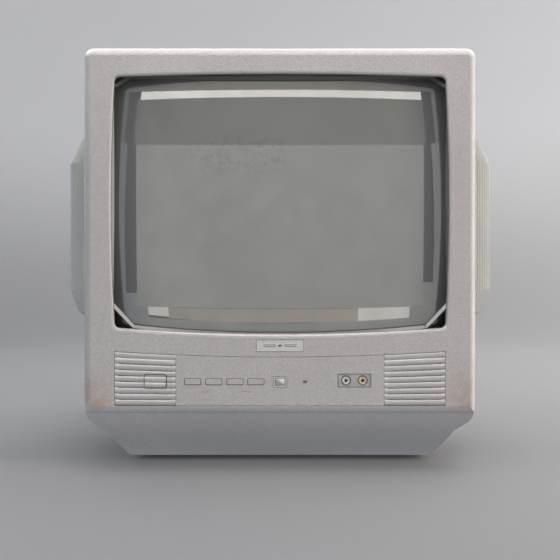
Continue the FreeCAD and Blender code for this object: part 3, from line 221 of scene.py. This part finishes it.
def silver_paint(name, tint, grain, depth):
    """Metallic silver paint over spark-eroded plastic, browned by hands at the two lower front corners."""
    look = Look(name, {"Metallic": 0.35, "Specular IOR Level": 0.5})
    darker, lighter, lightest = (tuple(share * value for value in tint) for share in (0.92, 1.12, 1.32))
    soft = look.between(look.spread(look.noise(0.05, detail=4), 0.3, 0.7), tint, lighter)
    flakes = look.spread(look.noise(0.0011, detail=1), 0.30, 0.75)
    paint = look.between(0.6, soft, look.between(flakes, darker, lightest))
    stain = look.product(
        look.spread(look.from_middle(), *STAINED_SIDES),
        look.spread(look.along("Z"), *STAINED_HEIGHTS, 1.0, 0.0),
        look.spread(look.along("Z"), *CHIN_EDGE),
        look.spread(look.noise(0.012, detail=5), 0.35, 0.65, 0.25, 1.0),
        0.85,
    )
    look.colour(look.between(stain, paint, (0.17, 0.115, 0.085)))
    look.roughness(look.spread(look.noise(0.004, detail=3), 0.3, 0.7, 0.34, 0.46))
    rims = look.maths(
        "MAXIMUM",
        look.spread(look.from_middle(), *SIDE_RIM),
        look.spread(look.along("Z"), *TOP_RIM),
    )
    erosion = look.product(
        look.noise(grain, detail=2, rough=0.65),
        look.spread(look.along("Z"), *SMOOTH_CHIN, 0.15, 1.0),
        look.maths("ADD", look.product(rims, 1.6), 1.0),
    )
    look.relief(erosion, depth)
    return look.material


def rear_grey():
    """The back shell's unpainted grey plastic, with a slightly yellowed top and fine erosion grain."""
    look = Look("rear_grey", {})
    patches = look.spread(look.noise(0.08, detail=4), 0.3, 0.7)
    fresh = look.between(patches, (0.255, 0.262, 0.25), (0.30, 0.30, 0.28))
    aged = look.spread(look.along("Z"), *YELLOWED_TOP, 0.0, 0.5)
    look.colour(look.between(aged, fresh, (0.33, 0.31, 0.265)))
    look.roughness(look.spread(look.noise(0.006, detail=3), 0.3, 0.7, 0.42, 0.6))
    look.relief(look.noise(0.0009, detail=3, rough=0.6), 0.00009)
    return look.material


def surround_black():
    """Glossy black plastic with fine wipe marks and a little dust; under the top edge it is duller, and
    painted browner as shade.
    """
    look = Look("surround", {"Coat Roughness": 0.04, "Specular IOR Level": 0.4})
    top = look.spread(look.along("Z"), *REVEAL_TOP)
    look.shading("Coat Weight", look.spread(top, 0.0, 1.0, 0.4, 0.0))
    dust = look.spread(look.noise(0.004, detail=6, rough=0.7), 0.5, 0.8, 0.0, 0.3)
    # painted shade: the black turns browner under the top edge
    black = look.between(top, (0.014, 0.013, 0.011), (0.026, 0.020, 0.014))
    look.colour(look.between(dust, black, (0.075, 0.068, 0.055)))
    wipes = look.spread(look.noise(0.003, detail=4, stretch=(1, 1, 6)), 0.3, 0.7, 0.10, 0.22)
    look.roughness(look.maths("ADD", wipes, look.product(top, 0.5)))
    look.relief(look.noise(0.012, detail=2), 0.00010)
    return look.material


def screen_glass():
    """The tube's grey-green tinted face, glossy outside, darker at both sides, with one wiped smear."""
    look = Look("screen_glass", {"Coat Weight": 1.0, "Coat Roughness": 0.012, "Coat IOR": 1.54})
    look.shading("Specular IOR Level", 0.15)
    patches = look.spread(look.noise(0.07, detail=3), 0.3, 0.7)
    tint = look.between(patches, (0.111, 0.116, 0.110), (0.126, 0.129, 0.122))
    tint = look.between(look.spread(look.from_middle(), *GLASS_EDGES), tint, (0.083, 0.087, 0.085))
    smear = look.product(
        look.spread(look.along("Z"), *SMEAR_LOW),
        look.spread(look.along("Z"), *SMEAR_HIGH, 1.0, 0.0),
        look.spread(look.along("X"), *SMEAR_RIGHT, 1.0, 0.0),
        look.spread(look.along("X"), *SMEAR_LEFT),
        look.spread(look.noise(0.006, detail=8, rough=0.8), 0.50, 0.56),
        0.4,
    )
    look.colour(look.between(smear, tint, (0.035, 0.042, 0.040)))
    look.roughness(look.spread(look.noise(0.02, detail=4), 0.3, 0.7, 0.45, 0.6))
    return look.material


def wound_copper():
    """Enamelled copper wire laid turn by turn."""
    look = Look("copper", {"Metallic": 0.85})
    turns = look.waves(0.0005, "DIAGONAL", warp=1.5)
    look.colour(look.between(turns, (0.22, 0.07, 0.03), (0.62, 0.26, 0.12)))
    look.roughness(look.spread(look.noise(0.002, detail=2), 0.3, 0.7, 0.25, 0.4))
    look.relief(turns, 0.00015)
    return look.material


def wrapped_tape():
    """Woven black tape wound round a bundle."""
    look = Look("tape", {})
    turns = look.waves(0.011, "DIAGONAL", warp=0.6)
    weave = look.product(look.waves(0.0006, "X"), look.waves(0.0006, "Z"))
    look.colour(look.between(weave, (0.016, 0.016, 0.018), (0.05, 0.05, 0.053)))
    look.roughness(look.spread(turns, 0.0, 1.0, 0.55, 0.8))
    look.relief(turns, 0.0004)
    look.relief(weave, 0.00008)
    return look.material


def circuit_board():
    """Brown phenolic board with fine tracks on its faces."""
    look = Look("board", {})
    fibre = look.noise(0.0015, detail=5, stretch=(1, 1, 4))
    base = look.between(look.spread(fibre, 0.3, 0.7), (0.20, 0.115, 0.045), (0.30, 0.18, 0.075))
    tracks = look.maths("GREATER_THAN", look.waves(0.0035, "X", warp=5.0), 0.80)
    look.colour(look.between(look.product(tracks, 0.6), base, (0.10, 0.075, 0.03)))
    look.roughness(look.spread(fibre, 0.3, 0.7, 0.45, 0.65))
    look.relief(look.noise(0.0008, detail=3), 0.00005)
    return look.material


def paper_cone():
    """Pressed grey paper pulp with fibres."""
    look = Look("paper", {})
    fibres = look.noise(0.0012, detail=8, rough=0.75)
    look.colour(look.between(look.spread(fibres, 0.35, 0.65), (0.020, 0.019, 0.018), (0.07, 0.066, 0.06)))
    look.roughness(look.spread(fibres, 0.3, 0.7, 0.75, 0.95))
    look.relief(fibres, 0.00025)
    return look.material


def badge_metal():
    """Satin plate of the badge, lightly scratched."""
    look = Look("badge", {"Metallic": 0.6})
    lines = look.noise(0.0005, detail=3, stretch=(0.15, 1, 1))
    look.colour(look.between(look.spread(lines, 0.3, 0.7), (0.205, 0.203, 0.200), (0.245, 0.242, 0.238)))
    look.roughness(look.spread(look.noise(0.004, detail=3), 0.3, 0.7, 0.3, 0.42))
    look.relief(lines, 0.00002)
    return look.material


def window_lens():
    """The remote-control window: a silver frame, a recess painted dark as shade, and a clear lens with a
    painted highlight towards its top right.
    """
    low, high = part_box("ir_window")
    half_width, half_height = 4.25 * MM, 2.95 * MM  # of the lens
    look = Look("window", {"Coat Weight": 0.8, "Coat Roughness": 0.05})
    across = look.maths("DIVIDE", look.along("X"), half_width)
    up = look.maths("DIVIDE", look.maths("SUBTRACT", look.along("Z"), (low.z + high.z) / 2), half_height)
    edge = look.maths("MAXIMUM", look.maths("ABSOLUTE", across), look.maths("ABSOLUTE", up))
    # painted highlight: the lens colour runs from dark to near white towards its top right
    painted_highlight = look.spread(look.maths("ADD", across, up), -0.5, 1.3)
    lens = look.between(painted_highlight, (0.13, 0.115, 0.11), (0.78, 0.76, 0.74))
    # painted shade: the ring between the lens and the frame is coloured nearly black
    lens_and_recess_shade = look.between(look.spread(edge, 0.98, 1.02), lens, (0.03, 0.027, 0.026))
    look.colour(look.between(look.spread(edge, 1.11, 1.15), lens_and_recess_shade, (0.34, 0.325, 0.315)))
    look.roughness(look.spread(look.noise(0.002, detail=2), 0.3, 0.7, 0.2, 0.35))
    look.relief(look.noise(0.003, detail=1), 0.0002)
    return look.material


JACK = {"rough": (0.3, 0.45), "patch": 0.01, "grain": 0.0008, "depth": 0.00003}

MOULDED = (
    # slot, darker and lighter colour, settings
    ("led", (0.035, 0.030, 0.029), (0.065, 0.055, 0.052), {"rough": (0.12, 0.25), "patch": 0.002}),
    ("av_plate", (0.25, 0.25, 0.25), (0.36, 0.358, 0.352), {"rough": (0.35, 0.5), "patch": 0.006}),
    ("jack_white", (0.50, 0.48, 0.43), (0.62, 0.60, 0.55), JACK),
    ("jack_yellow", (0.50, 0.42, 0.22), (0.62, 0.54, 0.32), JACK),
    ("rubber", (0.018, 0.018, 0.018), (0.035, 0.034, 0.033), {"rough": (0.7, 0.9), "depth": 0.00009}),
    ("funnel_glass", (0.022, 0.022, 0.024), (0.045, 0.044, 0.046), {"rough": (0.35, 0.6), "patch": 0.03}),
    ("phosphor", (0.50, 0.52, 0.49), (0.58, 0.60, 0.57), {"rough": (0.8, 0.95), "grain": 0.0004}),
    ("silicone", (0.16, 0.022, 0.016), (0.22, 0.034, 0.024), {}),
    ("ferrite", (0.030, 0.029, 0.030), (0.055, 0.053, 0.052), {"rough": (0.55, 0.8), "grain": 0.0008}),
    ("yoke_plastic", (0.58, 0.56, 0.50), (0.68, 0.66, 0.60), {}),
    ("ring_plastic", (0.025, 0.025, 0.026), (0.05, 0.05, 0.05), {"rough": (0.35, 0.5)}),
    ("black_plastic", (0.016, 0.016, 0.017), (0.034, 0.034, 0.034), {"rough": (0.35, 0.55)}),
    ("capacitor", (0.02, 0.035, 0.12), (0.03, 0.05, 0.17), {"rough": (0.25, 0.4)}),
)

BRUSHED = (
    # slot, darker and lighter colour, settings
    ("steel", (0.45, 0.45, 0.46), (0.62, 0.61, 0.60), {}),
    ("mask_steel", (0.05, 0.05, 0.055), (0.10, 0.10, 0.105), {"rough": (0.5, 0.65)}),
    ("heatsink", (0.55, 0.56, 0.57), (0.72, 0.72, 0.73), {}),
    ("tin", (0.58, 0.57, 0.54), (0.74, 0.73, 0.70), {"rough": (0.22, 0.4), "stretch": (1, 1, 8)}),
)


def make_looks():
    """The material of every slot in the record."""
    looks = {
        "silver": silver_paint("silver", (0.197, 0.187, 0.185), grain=0.0016, depth=0.00022),
        "button": silver_paint("button", (0.193, 0.183, 0.181), grain=0.0011, depth=0.00008),
        "rear_grey": rear_grey(),
        "surround": surround_black(),
        "badge": badge_metal(),
        "window": window_lens(),
        "screen_glass": screen_glass(),
        "copper": wound_copper(),
        "tape": wrapped_tape(),
        "board": circuit_board(),
        "paper": paper_cone(),
    }
    for make, table in ((moulded, MOULDED), (brushed_metal, BRUSHED)):
        for slot, dark, light, settings in table:
            looks[slot] = make(slot, dark, light, **settings)
    return looks


def dress_nodes(looks):
    """Puts each slot's material on its CAD nodes."""
    for subpart in frame["record"]["subparts"]:
        node = frame["nodes"][subpart["node"]]
        if not node.material_slots:
            node.data.materials.append(None)
        for slot in node.material_slots:
            slot.material = looks[subpart["material_slot"]]


# ---- small pieces on the front ----


def finish_piece(name, mesh, material):
    """Turns a bmesh into a piece that rides on the fixed body."""
    bmesh.ops.recalc_face_normals(mesh, faces=mesh.faces)
    data = bpy.data.meshes.new(name)
    mesh.to_mesh(data)
    mesh.free()
    piece = bpy.data.objects.new(name, data)
    bpy.context.scene.collection.objects.link(piece)
    data.materials.append(material)
    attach(piece, "set")


def join_rings(mesh, rings):
    """Closes a tube through rings of points, the last one joined to the first."""
    for one, other in zip(rings, rings[1:] + rings[:1]):
        for i in range(len(one)):
            j = (i + 1) % len(one)
            mesh.faces.new((one[i], one[j], other[j], other[i]))


def raised_shapes(name, outlines, thick, material):
    """One piece from flat outlines in X and Z, each raised from the surface at its own Y."""
    mesh = bmesh.new()
    for outline, y in outlines:
        front = [mesh.verts.new((x, y - thick, z)) for x, z in outline]
        back = [mesh.verts.new((x, y + 0.2 * MM, z)) for x, z in outline]
        mesh.faces.new(front)
        mesh.faces.new(back[::-1])
        for i in range(len(outline)):
            j = (i + 1) % len(outline)
            mesh.faces.new((front[j], front[i], back[i], back[j]))
    finish_piece(name, mesh, material)


def box_middle(node):
    """The middle of a node's box in X and Z."""
    low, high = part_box(node)
    return (low.x + high.x) / 2, (low.z + high.z) / 2


def surface_y(node, x, z):
    """Where a line straight back from the front meets a node."""
    hit, point, _, _ = frame["nodes"][node].ray_cast(Vector((x, cad_low.y - 0.1, z)), Vector((0, 1, 0)))
    if not hit:
        raise ValueError(f"nothing of {node} at {x}, {z}")
    return point.y


def bar(x, z, width, height):
    a, b = width / 2, height / 2
    return [(x - a, z - b), (x + a, z - b), (x + a, z + b), (x - a, z + b)]


def cross(x, z, size, stroke):
    """A plus sign as one outline."""
    a, b = size / 2, stroke / 2
    lower = [(-b, -a), (b, -a), (b, -b), (a, -b), (a, b), (b, b)]
    upper = [(b, a), (-b, a), (-b, b), (-a, b), (-a, -b), (-b, -b)]
    return [(x + i, z + j) for i, j in lower + upper]


def triangle(x, z, size, up):
    high = size * 0.45 * (1 if up else -1)
    return [(x - size / 2, z - high), (x + size / 2, z - high), (x, z + high)]


SIGNS = {
    "minus": lambda x, z: bar(x, z, 2.4 * MM, 0.6 * MM),
    "plus": lambda x, z: cross(x, z, 2.4 * MM, 0.6 * MM),
    "wedge": lambda x, z: triangle(x, z, 2.6 * MM, True),
    "down": lambda x, z: triangle(x, z, 2.4 * MM, False),
    "dash": lambda x, z: bar(x, z, 2.6 * MM, 1.0 * MM),
    "up": lambda x, z: triangle(x, z, 2.4 * MM, True),
    "power": lambda x, z: bar(x, z, 2.8 * MM, 0.7 * MM),
}


def button_marks(ink):
    """Small printed signs below each pair of control buttons and below the power button."""
    outlines = []
    for first, second, signs in (
        ("volume_down_button", "volume_up_button", ("minus", "wedge", "plus")),
        ("channel_down_button", "channel_up_button", ("down", "dash", "up")),
    ):
        middle = (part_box(first)[0].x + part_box(second)[1].x) / 2
        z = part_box(first)[0].z - 5.2 * MM
        for step, sign in zip((-1, 0, 1), signs):
            x = middle + step * 3.6 * MM
            outlines.append((SIGNS[sign](x, z), surface_y("control_panel", x, z)))
    x, z = box_middle("power_button")[0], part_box("power_button")[0].z - 3.6 * MM
    outlines.append((SIGNS["power"](x, z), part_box("left_grille")[0].y))
    raised_shapes("button_marks", outlines, 0.06 * MM, ink)


def badge_ornament(ink):
    """A plain ornament in place of a name: a small diamond between two pairs of lines."""
    x, z = box_middle("badge_plate")
    y = surface_y("badge_plate", x, z)
    half_width, half_height = 2.6 * MM, 1.3 * MM
    diamond = [(x - half_width, z), (x, z - half_height), (x + half_width, z), (x, z + half_height)]
    outlines = [(diamond, y)]
    for side in (-1, 1):
        for shift in (-0.75 * MM, 0.75 * MM):
            outlines.append((bar(x + side * 9.4 * MM, z + shift, 11 * MM, 0.6 * MM), y))
    raised_shapes("badge_ornament", outlines, 0.12 * MM, ink)


def rounded_outline(x, z, half_x, half_z, curve):
    """Points round a rectangle with round corners."""
    steps = 4
    points = []
    for quarter, (i, j) in enumerate(((1, 1), (-1, 1), (-1, -1), (1, -1))):
        cx, cz = x + i * (half_x - curve), z + j * (half_z - curve)
        for step in range(steps + 1):
            turn = math.pi / 2 * (quarter + step / steps)
            points.append((cx + curve * math.cos(turn), cz + curve * math.sin(turn)))
    return points


SHADED_JOINTS = (
    # node, panel round it, and in mm: its visible width and height, then the painted shade's reach, width and
    # corners
    ("power_button", "left_grille", 19.3, 11.2, 0.90, 0.85, 2.0),
    ("volume_down_button", "control_panel", 14.3, 4.9, 0.62, 0.57, 1.0),
    ("volume_up_button", "control_panel", 14.3, 4.9, 0.62, 0.57, 1.0),
    ("channel_down_button", "control_panel", 14.3, 4.9, 0.62, 0.57, 1.0),
    ("channel_up_button", "control_panel", 14.3, 4.9, 0.62, 0.57, 1.0),
    ("ir_window", "control_panel", 11.9, 9.3, 0.40, 0.45, 0.7),
    ("av_plate", "control_panel", 29.7, 11.5, 0.50, 0.55, 0.8),
    ("audio_socket", "av_plate", 8.3, 8.3, 0.55, 0.80, 4.7),
    ("video_socket", "av_plate", 8.3, 8.3, 0.55, 0.80, 4.7),
    ("badge_plate", "badge_plate", 42.9, 10.4, 0.25, 0.35, 0.8),
)


def painted_joint_shade(shade_colour):
    """Painted shade: dark rings laid in the joints round the buttons, the window, the socket plate, the
    sockets and the badge.
    """
    proud, sunk = 0.04 * MM, 0.36 * MM  # before and behind the panel's face
    mesh = bmesh.new()
    for node, panel, *sizes in SHADED_JOINTS:
        width, height, reach, border, radius = (size * MM for size in sizes)
        x, z = box_middle(node)
        half_x, half_z = width / 2 + reach, height / 2 + reach
        outer = rounded_outline(x, z, half_x, half_z, radius)
        inner_radius = max(radius - border, 0.05 * MM)
        inner = rounded_outline(x, z, half_x - border, half_z - border, inner_radius)
        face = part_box(panel)[0].y
        levels = ((outer, face + sunk), (outer, face - proud), (inner, face - proud), (inner, face + sunk))
        join_rings(mesh, [[mesh.verts.new((a, y, b)) for a, b in points] for points, y in levels])
    # the rings carry a dark colour as painted shade in the joints
    finish_piece("painted_joint_shade", mesh, shade_colour)


def bowed(start, end, bow, steps):
    """Points along a shallow arc from start to end; the bow pushes its middle towards the left of the way."""
    (x0, z0), (x1, z1) = start, end
    along_x, along_z = x1 - x0, z1 - z0
    length = math.hypot(along_x, along_z)
    points = []
    for i in range(steps):
        share = i / steps
        push = 4 * bow * share * (1 - share) / length
        points.append((x0 + share * along_x - push * along_z, z0 + share * along_z + push * along_x))
    return points


def reveal_bevel(material):
    """Polished bevel of the dark reveal, sloping down to the glass all round the window."""
    left, right, low, high = -155.4 * MM, 155.4 * MM, 134.3 * MM, 363.4 * MM
    low_cut_x, low_cut_z = 20.0 * MM, 21.2 * MM
    high_cut_x, high_cut_z = 16.6 * MM, 9.1 * MM
    low_bow, side_bow, high_bow = -7.0 * MM, 2.0 * MM, 3.6 * MM
    corners = (
        # each side's start, how far it bows, and its number of steps
        ((left, low + low_cut_z), 0.0, 4),
        ((left + low_cut_x, low), low_bow, 24),
        ((right - low_cut_x, low), 0.0, 4),
        ((right, low + low_cut_z), side_bow, 12),
        ((right, high - high_cut_z), 0.0, 4),
        ((right - high_cut_x, high), high_bow, 24),
        ((left + high_cut_x, high), 0.0, 4),
        ((left, high - high_cut_z), side_bow, 12),
    )
    inner = []
    for (start, bow, steps), (end, _, _) in zip(corners, corners[1:] + corners[:1]):
        inner += bowed(start, end, bow, steps)
    pole_y, pole_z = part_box("crt_panel")[0].y, 247.0 * MM  # the foremost point of the glass
    mesh = bmesh.new()
    rings = [[], [], []]
    for i, (x, z) in enumerate(inner):
        (xa, za), (xb, zb) = inner[i - 1], inner[(i + 1) % len(inner)]
        length = math.hypot(xb - xa, zb - za)
        outward = ((zb - za) / length, -(xb - xa) / length)
        for ring, grow, lift in zip(rings, (0.1, 2.9, 2.9), (1.45, 4.25, 3.4)):
            a, b = x + grow * MM * outward[0], z + grow * MM * outward[1]
            fall = GLASS_RADIUS - math.sqrt(GLASS_RADIUS**2 - a * a - (b - pole_z) ** 2)
            ring.append(mesh.verts.new((a, pole_y + fall - lift * MM, b)))
    join_rings(mesh, rings)
    finish_piece("reveal_bevel", mesh, material)


# ---- stage, lights and camera ----


def place_sheet(name, mesh, material):
    """Turns a bmesh into a part of the stage."""
    data = bpy.data.meshes.new(name)
    mesh.to_mesh(data)
    mesh.free()
    data.materials.append(material)
    sheet = bpy.data.objects.new(name, data)
    bpy.context.scene.collection.objects.link(sheet)
    return sheet


def studio_paper():
    """Pale graduated paper, lighter up the wall, which also paints in the light from above; painted lighter
    and less blue to the right, as light from that side.
    """
    look = Look("studio_paper", {"Roughness": 0.9, "Specular IOR Level": 0.1})
    # graduated paper, darker on the floor and lighter up the wall, which also stands in as painted light from
    # above
    height = look.spread(look.along("Z"), 0.0, 0.8)
    # painted light: the paper grows lighter and less blue to the right, as if lit from that side
    side = look.spread(look.maths("ADD", look.along("X"), look.noise(0.5, detail=2)), -0.9, 1.9)
    floor = look.between(side, (0.268, 0.273, 0.290), (0.330, 0.332, 0.340))
    wall = look.between(side, (0.540, 0.552, 0.585), (0.575, 0.580, 0.595))
    look.colour(look.between(height, floor, wall))
    look.relief(look.noise(0.004, detail=3), 0.00005)
    return look.material


def make_studio():
    """A pale floor that rises in one sweep into the wall of a round studio; light comes in through it."""
    flat, bend, top = 1.25, 0.85, 3.0
    turns = [math.radians(6 * i) for i in range(16)]
    sweep = [(flat + bend * math.sin(t), bend * (1 - math.cos(t))) for t in turns]
    steps = 96
    around = [(math.cos(math.tau * i / steps), math.sin(math.tau * i / steps)) for i in range(steps)]
    mesh = bmesh.new()
    rings = []
    for radius, height in [(0.02, 0.0)] + sweep + [(flat + bend, top)]:
        rings.append([mesh.verts.new((radius * c, radius * s, height)) for c, s in around])
    mesh.faces.new(rings[0])
    for lower, upper in zip(rings, rings[1:]):
        for i in range(steps):
            j = (i + 1) % steps
            mesh.faces.new((lower[j], lower[i], upper[i], upper[j]))
    for face in mesh.faces:
        face.smooth = True
    studio = place_sheet("studio", mesh, studio_paper())
    studio.visible_glossy = False
    studio.visible_shadow = False


SOFT_LIGHTS = (
    # name, centre, target, width, height, radiance, colour
    ("front_light", (0, -2.75, 1.6), (0, 0, 0.25), 3.4, 1.86, 2.45, WHITE),
    ("roof_light", (0.2, -0.1, 1.9), (0, 0, 0), 1.6, 1.4, 2.8, (1.0, 0.99, 0.97)),
    ("wall_light", (0.3, 0.3, 2.2), (0.2, 2.1, 0.5), 1.2, 0.8, 1.0, (0.98, 0.99, 1.0)),
    ("side_wall_light", (1.5, 0.3, 0.95), (1.5, 1.9, 0.25), 0.8, 0.6, 7.0, (1.0, 0.985, 0.96)),
    ("warm_light", (2.55, -1.3, 1.2), (0, FRONT_Y, GLASS_Z), 1.0, 1.6, 6.0, (1.0, 0.86, 0.70)),
    ("cool_light", (-2.55, -1.3, 1.1), (0, FRONT_Y, GLASS_Z), 1.0, 1.6, 2.6, (0.72, 0.84, 1.0)),
)

DOME_RADIUS = 2.5

DOME = (
    # name, angles around, heights, radiance, colour, sags, flare
    ("front_wall", (-26.6, 26.6), (-14.0, 16.3), 2.7, WHITE, (0.0015, -0.0007), 0.0022),
    ("wall_above", (-27.6, 27.6), (16.3, 25.1), 1.1, WHITE, (-0.0007, -0.0019)),
    ("upper_bar", (-27.1, 27.5), (25.1, 26.4), 11.0, CREAM, (-0.0019, -0.0018)),
    ("above_bar", (-60.0, 60.0), (26.4, 29.5), 1.5, CREAM, (-0.0018, 0.0)),
    ("above_left", (-75.0, -29.3), (16.0, 27.0), 1.3, BLUISH),
    ("above_right", (29.3, 56.0), (16.0, 27.0), 1.5, WHITE),
    ("low_bar_left", (-25.0, -21.2), (-16.4, -14.1), 7.0, CREAM, (0.0030, 0.0017)),
    ("low_bar_fading", (-21.2, -17.2), (-16.6, -14.1), 2.9, BROWN, (0.0028, 0.0015)),
    ("low_bar_middle", (-17.2, 14.9), (-16.6, -14.1), 3.3, BROWN, (0.0019, 0.0015)),
    ("low_bar_right", (14.9, 24.6), (-16.7, -14.1), 7.3, CREAM, (0.0028, 0.0017)),
    ("low_left_end", (-26.6, -25.0), (-15.6, -13.1), 2.1, WHITE),
    ("low_right_end", (24.6, 26.6), (-15.6, -13.1), 2.3, WHITE),
    ("wall_below", (-26.6, 26.6), (-24.0, -16.7), 2.3, WHITE, (0.0028, 0.0028)),
    ("left_wall", (-75.0, -28.7), (-24.0, 16.0), 1.7, BLUISH),
    ("right_wall", (28.5, 56.0), (-24.0, 16.0), 2.1, WHITE),
    ("left_corner", (-28.7, -26.6), (-24.0, -10.5), 2.2, BLUISH),
    ("right_corner", (26.6, 28.5), (-24.0, -8.6), 2.3, WHITE),
    ("left_window", (-125.0, -75.0), (-24.0, 27.0), 1.5, BLUISH),
    ("right_window", (56.0, 115.0), (-24.0, 27.0), 6.5, CREAM),
    ("back_left", (-178.0, -125.0), (0.0, 27.0), 1.3, BLUISH),
    ("back_right", (115.0, 178.0), (0.0, 27.0), 1.8, WHITE),
    ("roof_edge", (-178.0, 178.0), (29.5, 52.0), 8.0, WHITE),
    ("roof", (-178.0, 178.0), (52.0, 75.0), 7.0, WHITE),
    ("roof_middle", (-178.0, 178.0), (75.0, 89.5), 4.5, WHITE),
    ("near_ground", (-75.0, 75.0), (-80.0, -24.0), 1.9, BLUISH),
    ("under_ground", (-178.0, 178.0), (-89.5, -80.0), 1.3, BLUISH),
    ("ground_left", (-178.0, -75.0), (-80.0, -26.0), 1.0, BLUISH),
    ("ground_right", (75.0, 178.0), (-80.0, -26.0), 1.0, BLUISH),
)


def soft_light(name, centre, target, width, height, radiance, colour):
    """A rectangular light that faces a target and shows in no reflection."""
    data = bpy.data.lights.new(name, "AREA")
    data.shape = "RECTANGLE"
    data.size = width
    data.size_y = height
    data.energy = radiance * math.pi * width * height
    data.color = colour
    lamp = bpy.data.objects.new(name, data)
    bpy.context.scene.collection.objects.link(lamp)
    lamp.location = centre
    lamp.rotation_euler = (Vector(target) - Vector(centre)).to_track_quat("-Z", "Y").to_euler()
    lamp.visible_camera = False
    lamp.visible_glossy = False


def glow(name, radiance, colour):
    """A glowing material whose brightness varies softly by a tenth each way."""
    material = bpy.data.materials.new(name)
    material.use_nodes = True
    tree = material.node_tree
    place = tree.nodes.new("ShaderNodeTexCoord")
    noise = tree.nodes.new("ShaderNodeTexNoise")
    noise.inputs["Scale"].default_value = 5.0
    noise.inputs["Detail"].default_value = 4.0
    uneven = tree.nodes.new("ShaderNodeMapRange")
    limits = {"From Min": 0.3, "From Max": 0.7, "To Min": 0.9 * radiance, "To Max": 1.1 * radiance}
    for limit, value in limits.items():
        uneven.inputs[limit].default_value = value
    emission = tree.nodes.new("ShaderNodeEmission")
    emission.inputs["Color"].default_value = (*colour, 1)
    tree.links.new(place.outputs["Object"], noise.inputs["Vector"])
    tree.links.new(noise.outputs["Fac"], uneven.inputs["Value"])
    tree.links.new(uneven.outputs["Result"], emission.inputs["Strength"])
    tree.links.new(emission.outputs["Emission"], tree.nodes["Material Output"].inputs["Surface"])
    return material


def dome_patch(name, around, height, radiance, colour, sag=(0.0, 0.0), flare=0.0):
    """A glowing patch of a dome round the screen, seen only in reflections.

    It lies between two angles around the set, 0 being straight in front, and two heights above the level,
    all in degrees. Its low and high edges bend by the sags, and its ends lean outwards by the flare.
    """
    mesh = bmesh.new()
    columns, rows = 28, 8
    centre = Vector((0, FRONT_Y, GLASS_Z))
    grid = []
    for i in range(columns + 1):
        turn = around[0] + (around[1] - around[0]) * i / columns
        low, high = (edge + bend * turn * turn for edge, bend in zip(height, sag))
        column = []
        for j in range(rows + 1):
            lift = low + (high - low) * j / rows
            lean = math.copysign(flare * lift * lift, turn) if turn else 0.0
            a, e = math.radians(turn + lean), math.radians(lift)
            ray = Vector((math.sin(a) * math.cos(e), -math.cos(a) * math.cos(e), math.sin(e)))
            column.append(mesh.verts.new(centre + DOME_RADIUS * ray))
        grid.append(column)
    for one, other in zip(grid, grid[1:]):
        for j in range(rows):
            mesh.faces.new((one[j], one[j + 1], other[j + 1], other[j]))
    patch = place_sheet(name, mesh, glow(name, radiance, colour))
    patch.visible_camera = False
    patch.visible_diffuse = False
    patch.visible_shadow = False


def make_world():
    world = bpy.data.worlds.new("studio_air")
    world.use_nodes = True
    air = world.node_tree.nodes["Background"].inputs
    air["Color"].default_value = (0.42, 0.45, 0.52, 1)
    air["Strength"].default_value = 0.36
    bpy.context.scene.world = world


def make_camera():
    """Level, straight in front of the set's middle."""
    distance, height = 0.7093, 0.1761
    data = bpy.data.cameras.new("camera")
    data.lens = 50
    data.sensor_width = 36
    camera = bpy.data.objects.new("camera", data)
    bpy.context.scene.collection.objects.link(camera)
    camera.location = (0, FRONT_Y - distance, height)
    camera.rotation_euler = (math.radians(90), 0, 0)
    bpy.context.scene.camera = camera


def main():
    bpy.context.scene.view_settings.view_transform = "Standard"
    looks = make_looks()
    dress_nodes(looks)
    mark_ink = moulded("mark_ink", (0.210, 0.115, 0.100), (0.270, 0.150, 0.135), (0.5, 0.65), patch=0.001)
    badge_ink = moulded("badge_ink", (0.030, 0.028, 0.027), (0.050, 0.047, 0.045), (0.4, 0.5), patch=0.002)
    # a dark colour for the painted shade in the joints
    joint_shade_colour = moulded("joint_shade_colour", (0.022, 0.020, 0.018), (0.055, 0.050, 0.045), (0.6, 0.8), patch=0.003)
    button_marks(mark_ink)
    badge_ornament(badge_ink)
    reveal_bevel(looks["surround"])
    # painted shade rings in the joints round the front parts
    painted_joint_shade(joint_shade_colour)
    make_studio()
    for settings in SOFT_LIGHTS:
        soft_light(*settings)
    for settings in DOME:
        dome_patch(*settings)
    make_world()
    make_camera()


main()
